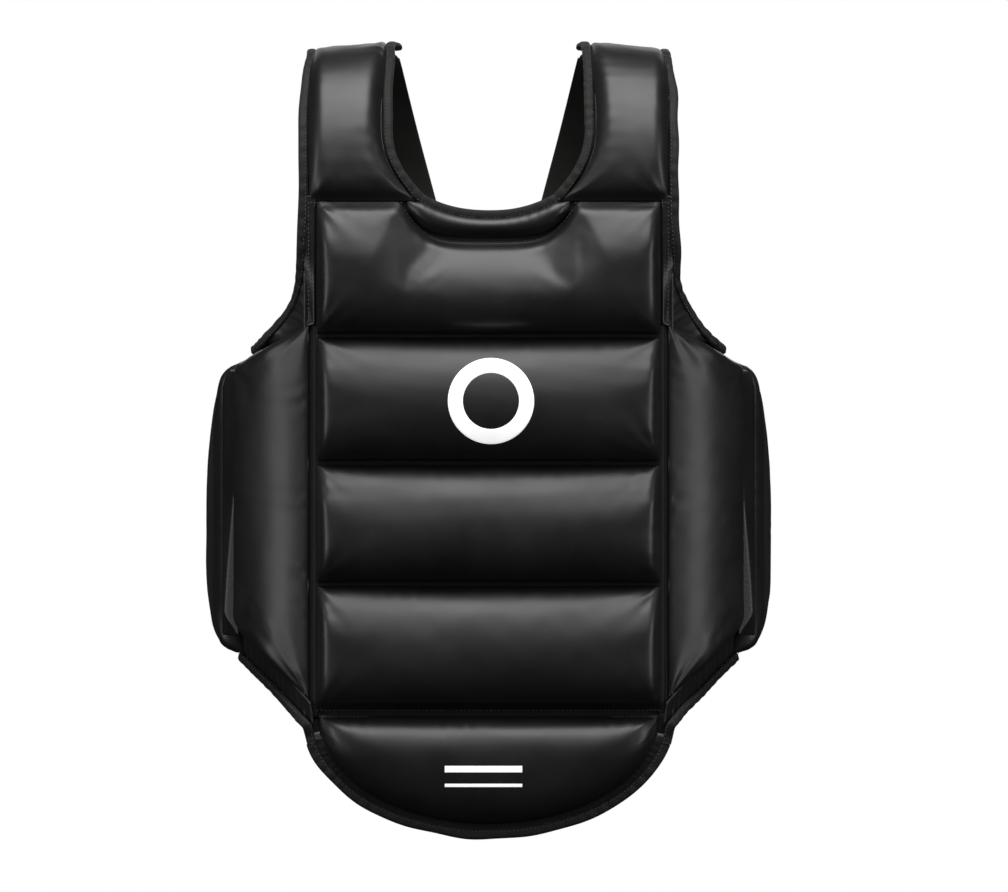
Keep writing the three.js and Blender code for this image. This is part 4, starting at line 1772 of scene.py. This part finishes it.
@dataclass
class Hem(SubAssembly):
    """The tape round the lower edge: one length on the flap and one on each wing."""

    def trimmings(self) -> None:
        """Bind the flap, then both wings."""
        layout = self.shop.layout
        flap = BellyFlap(self.shop)
        middle = np.array([0.0, layout.chest_y, layout.flap_seam])

        def inward(path: Path) -> Array:
            """Towards the middle of the flap's seam."""
            return TAPE_SEWN_IN * unit(middle - path[0])

        names = ("flap_tape", "flap_tape_stitches")
        points = flap.rim(0.1465, 0.0962, TAPE_HEIGHT, 76)
        path = facing(points, FORWARD)
        replaced = ["belly_flap_binding"]
        self.bind(names, path, Tape(seed=61), 1.0, inward, flap.BODIES, replaced, flap.BEND)
        for side in (-1, 1):
            self.wing_length(side, points[-1 if side > 0 else 0])

    def wing_length(self, side: int, start: Array) -> None:
        """The length that leaves the flap's corner in a curve and follows the wing's lower edge."""
        layout = self.shop.layout
        wing = layout.wing(side)
        u = np.linspace(0.010, 0.093, 60)
        lower = FrontWing(self.shop, side).hem(u)
        on_wing = wing(u, lower, 0.0045 + 0.004 * np.exp(-u / 0.02))
        reach = 0.020
        pulled = start + reach * np.array([side * 0.24, 0.0, 0.97])
        drawn = on_wing[0] - reach * unit(on_wing[1] - on_wing[0])
        t = np.linspace(0, 1, 30)[1:-1, None]
        corner = (1 - t) ** 3 * start + 3 * (1 - t) ** 2 * t * pulled + 3 * (1 - t) * t**2 * drawn
        path = np.concatenate([start[None], corner + t**3 * on_wing[0], on_wing])
        normals = turned_back(layout.wing_angle * smooth(np.abs(path[:, 0]), 0.146, 0.158))
        hand = HANDS[side]
        self.bind(
            (f"{hand}_hem_tape", f"{hand}_hem_stitches"),
            (path, normals * np.array([side, 1.0, 1.0])),
            Tape(seed=65 + side),
            -side,
            beside((0.0, 0.0, 1.0)),
            ["front_panel", f"{hand}_wing"],
            [f"{hand}_wing_hem_binding"],
            ((side * 0.146, -0.09, -0.5), (side * 0.160, -0.09, -0.5)),
        )


@dataclass
class RibPad(SubAssembly):
    """The pad that wraps the ribs behind a wing, its gusset, lining and tapes."""

    length: float = 0.114
    middle: float = -0.36

    def start(self, v: Array) -> Array:
        """The front edge leaves the fold towards the bottom, which opens the gusset."""
        return 0.0026 + 0.0040 * smooth(-v, 0.300, 0.455)

    def outline(self, a: Array, b: Array) -> tuple[Array, Array]:
        """Between the falling top edge and the lower edge."""
        u = lerp(0.003, self.length, a)
        v = lerp(rib_bottom(u) - 0.005, rib_top(u) + 0.006, b)
        return u + (self.start(v) - 0.003) * (1 - a) ** 2, v

    def prepare(self) -> None:
        """Queue the pad."""
        pad = Pad(
            f"{self.hand}_rib_pad_cushion",
            f"{self.hand}_rib_pad",
            (f"{self.hand}_rib_cover", f"{self.hand}_rib_foam"),
            self.shop.layout.rib(self.side),
            self.outline,
            width=0.111,
            height=0.200,
            thick=0.0262,
            side_reach=0.011,
            seam_reach=0.020,
            low_reach=0.016,
            power=2.2,
            spacing=0.0042,
            push=0.0020,
            puckers=Puckers(reach=0.011, pitch=0.016, seed=131 + self.side, corner=0.0004),
        )
        self.queue(pad)

    def trimmings(self) -> None:
        """The lining, both edge tapes and the gusset."""
        rib = self.shop.layout.rib(self.side)
        body = f"{self.hand}_rib_pad"
        outline = between(0.002, self.length, rib_bottom, rib_top)
        grids = laid_sheet(rib, outline, (37, 71), LINING_HEIGHTS, 0.0002, 43)
        self.line_with(f"{self.hand}_rib_inner_lining", grids, [body], [f"{self.hand}_rib_lining"])
        tape = Tape(width=0.0068, seed=71 + self.side)
        for edge, line, up, begin in (("top", rib_top, 1, 0.02), ("hem", rib_bottom, -1, 0.13)):
            u = self.length * np.sin(np.linspace(begin, np.pi / 2, 80))
            inward = np.array([0.0, 0.0, -0.0020 * up])
            self.bind(
                (f"{self.hand}_rib_{edge}_tape", f"{self.hand}_rib_{edge}_stitches"),
                facing(rib(u, line(u) + 0.0015 * up, 0.0010), outward(rib)),
                tape,
                self.side * up,
                lambda path, inward=inward: inward,
                [body],
                [f"{self.hand}_rib_{edge}_binding"],
            )
        self.gusset()

    def gusset(self) -> None:
        """Slack leather across the fold between the wing and this pad, creased where it opens."""
        wing, rib = self.shop.layout.wing(self.side), self.shop.layout.rib(self.side)
        v = np.linspace(-0.243, -0.4560, 130)
        opening = (smooth(-v, 0.270, 0.470) * (1 - smooth(-v, 0.436, 0.458)))[:, None]
        ends = rise(-0.236 - v, 0.022) * rise(v + 0.470, 0.018)
        first = wing(0.0808, v, 0.0155 * rise(-0.232 - v, 0.016))
        second = first * (1 - opening) + rib(-0.0075, v, 0.0225) * opening
        third = rib(self.start(v) + 0.007, v, 0.0205 * ends)
        w = np.linspace(0, 1, 13)[None]
        creases = smooth(-v, 0.375, 0.400) * (1 - smooth(-v, 0.425, 0.440))
        slack = 0.00018 * (creases * ripple(v, 0.004, 81))[:, None] * np.sin(np.pi * w)
        grids = loft([first, second, third], 13, FLANGE_THICK, slack)
        bend = (tuple(wing(0.082, self.middle, 0.014)), tuple(rib(0.008, self.middle, 0.014)))
        bodies = [f"{self.hand}_wing", f"{self.hand}_rib_pad"]
        name = f"{self.hand}_fold_gusset"
        self.cut(name, grids, Finish.LEATHER, "leather", bodies, [f"{self.hand}_gusset"], bend)


@dataclass
class WaistStrap(SubAssembly):
    """The elastic from a rib pad round to the back, with its hook tab."""

    middle: float = -0.394
    width: float = 0.044
    tab_y: float = 0.1074
    tip: float = 0.0110

    def strip(self, line: Array, half: Array | float, across: int, thick: float, ribs: float = 0.0) -> Grids:
        """Grids of a flat band that stands on edge along a line seen from above.

        Args:
            line: the band's course, seen from above.
            half: half the band's width, or that at each point.
            across: points over the width.
            thick: the band's thickness.
            ribs: height of the nine ribs that run along it.

        Returns:
            The two grids.
        """
        edges = [np.column_stack([line, np.full(len(line), self.middle) + k * half]) for k in (-1, 1)]
        w = np.linspace(0, 1, across)[None]
        return loft(edges, across, thick, ribs * np.cos(2 * np.pi * w * 9))

    def trimmings(self) -> None:
        """Build the elastic, the tab and the hook patch."""
        end = self.shop.layout.rib(1)(0.1135, 0.0, 0.0010)
        x, y = end[0], end[1]
        knots = np.array(
            [
                (x, y),
                (x + 0.0008, y + 0.007),
                (x - 0.002, y + 0.0135),
                (x - 0.009, y + 0.0177),
                (x - 0.020, y + 0.0190),
                (x - 0.070, lerp(y + 0.018, self.tab_y, 0.35)),
                (0.0590, self.tab_y),
            ]
        )
        line = spline(knots, 120)
        line[:, 0] *= self.side
        body = f"{self.hand}_rib_pad"
        grids = self.strip(line, self.width / 2, 19, 0.0018, 0.00022)
        replaced = [f"{self.hand}_waist_elastic"]
        name = f"{self.hand}_elastic_band"
        self.cut(name, grids, Finish.ELASTIC, "elastic", [body], replaced, cloth=False)
        tab_body = f"{self.hand}_hook_tab"
        bend = ((self.side * 0.0600, self.tab_y, self.middle), (self.side * 0.0545, self.tab_y, self.middle))
        self.end_piece("closing_tab", self.tab_y + 0.0012, 0.0016, Finish.TAB, "tab", [body, tab_body], bend)
        self.end_piece("hook_tape", 0.10575, 0.0011, Finish.HOOKS, "hook", [tab_body], None)

    def end_piece(
        self,
        name: str,
        y: float,
        thick: float,
        finish: Finish,
        slot: str,
        bodies: Sequence[str],
        bend: Bend | None,
    ) -> None:
        """The tab, or the smaller patch of hooks under it, with rounded corners at the free end."""
        is_tab = slot == "tab"
        x = np.linspace(0.0625, self.tip, 60)
        x = x[x <= (0.0625 if is_tab else 0.0530)]
        corner = np.clip(1 - (x - self.tip) / 0.008, 0, 1)
        half = self.width / 2 * (1 - 0.20 * (1 - np.sqrt(1 - corner**2))) - (0 if is_tab else 0.001)
        grids = self.strip(np.column_stack([self.side * x, np.full_like(x, y)]), half, 15, thick)
        node = f"{self.hand}_{'tab' if is_tab else 'hook_patch'}"
        self.cut(f"{self.hand}_{name}", grids, finish, slot, bodies, [node], bend, cloth=False)


def spline(knots: Array, count: int) -> Array:
    """A smooth line through knots: Catmull-Rom pieces, spread evenly."""
    padded = np.concatenate([2 * knots[:1] - knots[1:2], knots, 2 * knots[-1:] - knots[-2:-1]])
    t = np.linspace(0, 1, 24, endpoint=False)[None, :, None]
    p0, p1, p2, p3 = (padded[k : len(padded) - 3 + k, None] for k in range(4))
    piece = 0.5 * (
        2 * p1 + (p2 - p0) * t + (2 * p0 - 5 * p1 + 4 * p2 - p3) * t**2 + (3 * p1 - p0 - 3 * p2 + p3) * t**3
    )
    return evenly(np.concatenate([piece.reshape(-1, knots.shape[1]), knots[-1:]]), count)


# ---- the back
@dataclass
class BackHarness(SubAssembly):
    """Rear shoulder straps, the yoke between them and the loop patch."""

    start: float = 97.0
    strap_width: float = 0.072
    converge: float = 0.28
    strap_end: float = -0.2285
    bend_share: float = 0.52

    def course(self, v: Array) -> tuple[Array, Array]:
        """How far round the arch a strap is at v in degrees, and how far below it."""
        turns = lerp(self.start, 180.0, np.minimum(v / self.bend_share, 1))
        fall = (self.shop.layout.shoulder_seam - self.strap_end) * np.maximum(v - self.bend_share, 0)
        return turns, fall / (1 - self.bend_share)

    def rear(self, side: int) -> Place:
        """A rear strap: v from 0 behind the crest, over the arch and down to 1 at its end."""
        arch = self.shop.layout.strap(side)

        def place(u: Array, v: Array, t: Array) -> Array:
            """The arch up to the bend's share of v, and the back plane after it."""
            turns, fall = self.course(v)
            return arch(u, turns, t) - np.stack(np.broadcast_arrays(0, 0, fall + 0 * u), -1)

        return place

    def rear_outline(self, a: Array, b: Array) -> tuple[Array, Array]:
        """The strap draws in towards the spine as it comes down."""
        turns, fall = self.course(b)
        z = self.shop.layout.arch_height(turns) - fall
        return 0.074 - self.converge * (0.007 - z) + a * self.strap_width, b

    def yoke_outline(self, a: Array, b: Array) -> tuple[Array, Array]:
        """Wide at the straps and narrowing to a tail."""
        low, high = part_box("back_yoke")[0][2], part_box("back_yoke")[1][2]
        z = lerp(low, high, b)
        half = 0.082 - 0.012 * smooth(-z, 0.240, 0.320) - 0.010 * smooth(-z, 0.410, 0.428)
        return lerp(-1, 1, a) * half, z

    def prepare(self) -> None:
        """Queue the straps and the yoke."""
        look = {"finish": Finish.HARNESS, "slot": "harness", "fill": 0.5, "spacing": 0.0050}
        for side in (-1, 1):
            strap = Pad(
                f"{HANDS[side]}_rear_strap_pad",
                "back_harness",
                (f"{HANDS[side]}_rear_strap",),
                self.rear(side),
                self.rear_outline,
                width=self.strap_width,
                height=0.280,
                thick=0.0105,
                side_reach=0.010,
                seam_reach=0.014,
                columns=False,
                push=0.0012,
                puckers=Puckers(depth=0.0003, reach=0.009, pitch=0.015, seed=151 + side),
                **look,
            )
            self.queue(strap)
        yoke = Pad(
            "yoke_pad",
            "back_harness",
            ("back_yoke",),
            self.shop.layout.back,
            self.yoke_outline,
            width=0.150,
            height=0.200,
            thick=0.0130,
            side_reach=0.008,
            seam_reach=0.009,
            push=0.0006,
            pressure=1.0,
            puckers=Puckers(depth=0.0003, reach=0.006, pitch=0.014, seed=161),
            **look,
        )
        self.queue(yoke)

    def trimmings(self) -> None:
        """Linings on the wearer's side, and the loop patch."""
        layout = self.shop.layout
        body = ["back_harness"]
        for side in (-1, 1):
            grids = laid_sheet(self.rear(side), self.rear_outline, (31, 91), REAR_LINING_HEIGHTS, 0.0001, 53)
            self.line_with(f"{HANDS[side]}_rear_strap_lining", grids, body)
        grids = laid_sheet(layout.back, self.yoke_outline, (41, 61), REAR_LINING_HEIGHTS, 0.0001, 54)
        self.line_with("yoke_lining", grids, body)
        low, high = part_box("loop_patch")
        outline = between(low[0], high[0], level(low[2]), level(high[2]))
        heights = (high[1] - layout.back_y, low[1] - layout.back_y - 0.0006)
        grids = laid_sheet(layout.back, outline, (41, 27), heights, 0.00008, 55)
        self.cut("loop_field", grids, Finish.LOOPS, "loop_pile", body, ["loop_patch"], cloth=False)
        edge = 0.0022
        x = np.linspace(low[0] + edge, high[0] - edge, 60)
        z = np.linspace(low[2] + edge, high[2] - edge, 40)
        t = heights[0] + 0.0001
        rows = [layout.back(x, side, t) for side in (low[2] + edge, high[2] - edge)]
        rows += [layout.back(side, z, t) for side in (low[0] + edge, high[0] - edge)]
        self.sew("loop_stitches", [facing(row, BACKWARD) for row in rows], "back_harness")


# ---- prints and the studio
@dataclass
class Prints(SubAssembly):
    """Plain geometric prints: a ring on the chest and a double bar on the flap."""

    centre: tuple[float, float] = (0.002, -0.268)
    ring: tuple[float, float] = (0.0225, 0.0345)
    bar_width: float = 0.062
    bar_middle: float = -0.004
    ink: float = 0.00022
    bar_heights: tuple[tuple[float, float], ...] = ((-0.5625, 0.0052), (-0.5755, 0.0026))

    def lay(self, name: str, u: Array, v: Array, target: bpy.types.Object, body: str) -> None:
        """Project a flat grid onto a pad, and give it the thickness of ink."""
        flat = np.stack([u, np.full_like(u, -0.2), v], -1)
        index = np.arange(u.size).reshape(u.shape)
        mesh = bpy.data.meshes.new(name)
        mesh.from_pydata(flat.reshape(-1, 3).tolist(), [], grid_quads(index).tolist())
        stencil = bpy.data.objects.new(name, mesh)
        bpy.context.scene.collection.objects.link(stencil)
        throw = stencil.modifiers.new("lay", "SHRINKWRAP")
        throw.wrap_method = "PROJECT"
        throw.use_project_y = True
        throw.use_positive_direction = True
        throw.use_negative_direction = False
        throw.target = target
        apply_modifiers(stencil)
        laid = coordinates(stencil).reshape(*u.shape, 3)
        bpy.data.objects.remove(stencil)
        ink = np.array([0.0, -self.ink, 0.0])
        piece = sheet_object(name, laid + ink, laid - ink, name == "print_ring")
        self.shop.fasten(piece, Finish.INK, "leather", [body])

    def trimmings(self) -> None:
        """Print both marks."""
        round_it = np.linspace(0, 2 * np.pi, 96, endpoint=False)
        turn, share = np.meshgrid(round_it, np.linspace(0, 1, 9), indexing="ij")
        chest = bpy.data.objects["front_channel_2"]
        size = lerp(*self.ring, share)
        u = self.centre[0] + size * np.cos(turn)
        v = self.centre[1] + size * np.sin(turn)
        self.lay("print_ring", u, v, chest, "front_panel")
        flap = bpy.data.objects["flap_pad"]
        for number, (height, thick) in enumerate(self.bar_heights, 1):
            u = np.linspace(-self.bar_width / 2, self.bar_width / 2, 61)[:, None] + self.bar_middle
            u, v = np.broadcast_arrays(u, height + np.linspace(-0.5, 0.5, 9)[None] * thick)
            self.lay(f"print_bar_{number}", u.copy(), v.copy(), flap, "belly_flap")


@dataclass(frozen=True)
class SoftLight:
    """A large soft box."""

    name: str
    place: tuple[float, float, float]
    aim: tuple[float, float, float]
    size: tuple[float, float]
    power: float

    def switch_on(self) -> None:
        """Hang the light and turn it to its aim."""
        lamp = bpy.data.lights.new(self.name, "AREA")
        lamp.shape = "RECTANGLE"
        lamp.size, lamp.size_y = self.size
        lamp.energy = self.power
        holder = bpy.data.objects.new(self.name, lamp)
        holder.location = self.place
        holder.rotation_euler = (Vector(self.aim) - Vector(self.place)).to_track_quat("-Z", "Y").to_euler()
        bpy.context.scene.collection.objects.link(holder)


@dataclass
class Studio:
    """A pale studio with a camera straight in front."""

    distance: float = 16.0
    view_width: float = 0.8064
    look: tuple[float, float] = (0.0124, -0.304)
    floor_height: float = -0.80
    floor_radius: float = 1.15
    lights: tuple[SoftLight, ...] = (
        SoftLight("overhead", (0.0, -1.32, 2.4), (0.0, -1.321, -0.30), (2.3, 2.5), 116.0),
        SoftLight("front_high", (0.0, -2.6, 1.5), (0.0, -0.1, -0.30), (1.8, 1.0), 7.0),
        SoftLight("right_strip", (-1.87, -1.2, -0.1), (-0.15, -0.05, -0.32), (0.7, 1.7), 14.5),
        SoftLight("left_strip", (1.87, -1.2, -0.1), (0.15, -0.05, -0.32), (0.7, 1.7), 14.5),
        SoftLight("back", (0.0, 2.3, 0.6), (0.0, 0.0, -0.25), (2.2, 1.4), 12.0),
    )

    def build(self) -> None:
        """Set up the world, the floor, the lights and the camera."""
        self.world()
        self.floor()
        for light in self.lights:
            light.switch_on()
        self.camera()
        bpy.context.scene.view_settings.view_transform = "Standard"

    def world(self) -> None:
        """White where the camera sees past the object, and a dim grey for everything else."""
        world = bpy.data.worlds.new("studio")
        world.use_nodes = True
        n = Nodes(world.node_tree)
        seen = n.add("LightPath", {}).outputs["Is Camera Ray"]
        level = n.scale(seen, 0.02, 1.0)
        light = n.add("Background", {"Color": (1.0, 1.0, 1.0, 1.0), "Strength": level})
        n.add("OutputWorld", {0: light.outputs[0]})
        bpy.context.scene.world = world

    def floor(self) -> None:
        """A pale disc under the protector, below the picture."""
        turn = np.linspace(0, 2 * np.pi, 64, endpoint=False)[:, None]
        share = np.linspace(0.001, 1, 5)[None]
        x, y = np.cos(turn) * share * self.floor_radius, np.sin(turn) * share * self.floor_radius
        top = np.stack([x, y, np.full_like(x, self.floor_height)], -1)
        disc = new_mesh_object("floor", *sheet_arrays(top, top - np.array([0.0, 0.0, 0.02]), True))
        made, n = new_finish("floor_paint")
        place = n.add("TexCoord", {}).outputs["Object"]
        cloudy = n.add("TexNoise", {"Vector": place, "Scale": 3.0}).outputs[0]
        colour = n.mix(cloudy, grey(0.78), grey(0.82))
        surface(n, colour, n.scale(cloudy, 0.55, 0.65))
        disc.data.materials.append(made)
        disc.visible_diffuse = disc.visible_glossy = False

    def camera(self) -> None:
        """A long lens at the height of the picture's middle, looking straight ahead."""
        lens = bpy.data.cameras.new("camera")
        lens.sensor_width = 36.0
        lens.lens = 36.0 * self.distance / self.view_width
        eye = bpy.data.objects.new("camera", lens)
        eye.location = (self.look[0], -0.11 - self.distance, self.look[1])
        eye.rotation_euler = (math.pi / 2, 0.0, 0.0)
        bpy.context.scene.collection.objects.link(eye)
        bpy.context.scene.camera = eye


def main() -> None:
    """Build the protector from the front panel outwards, then the studio."""
    logging.basicConfig(level=logging.INFO, format="%(message)s")
    shop = Workshop(Layout(), PadBench(), Wardrobe())
    parts: list[SubAssembly] = [FrontPanel(shop), BellyFlap(shop), NeckEdge(shop)]
    for side in (-1, 1):
        parts += [ShoulderStrap(shop, side), SideEdge(shop, side), FrontWing(shop, side)]
        parts += [RibPad(shop, side), WaistStrap(shop, side)]
    parts += [Hem(shop), BackHarness(shop)]
    for part in parts:
        part.prepare()
    shop.bench.inflate()
    for part in parts:
        part.complete()
    Prints(shop).complete()
    Studio().build()


if __name__ == "__main__":
    main()
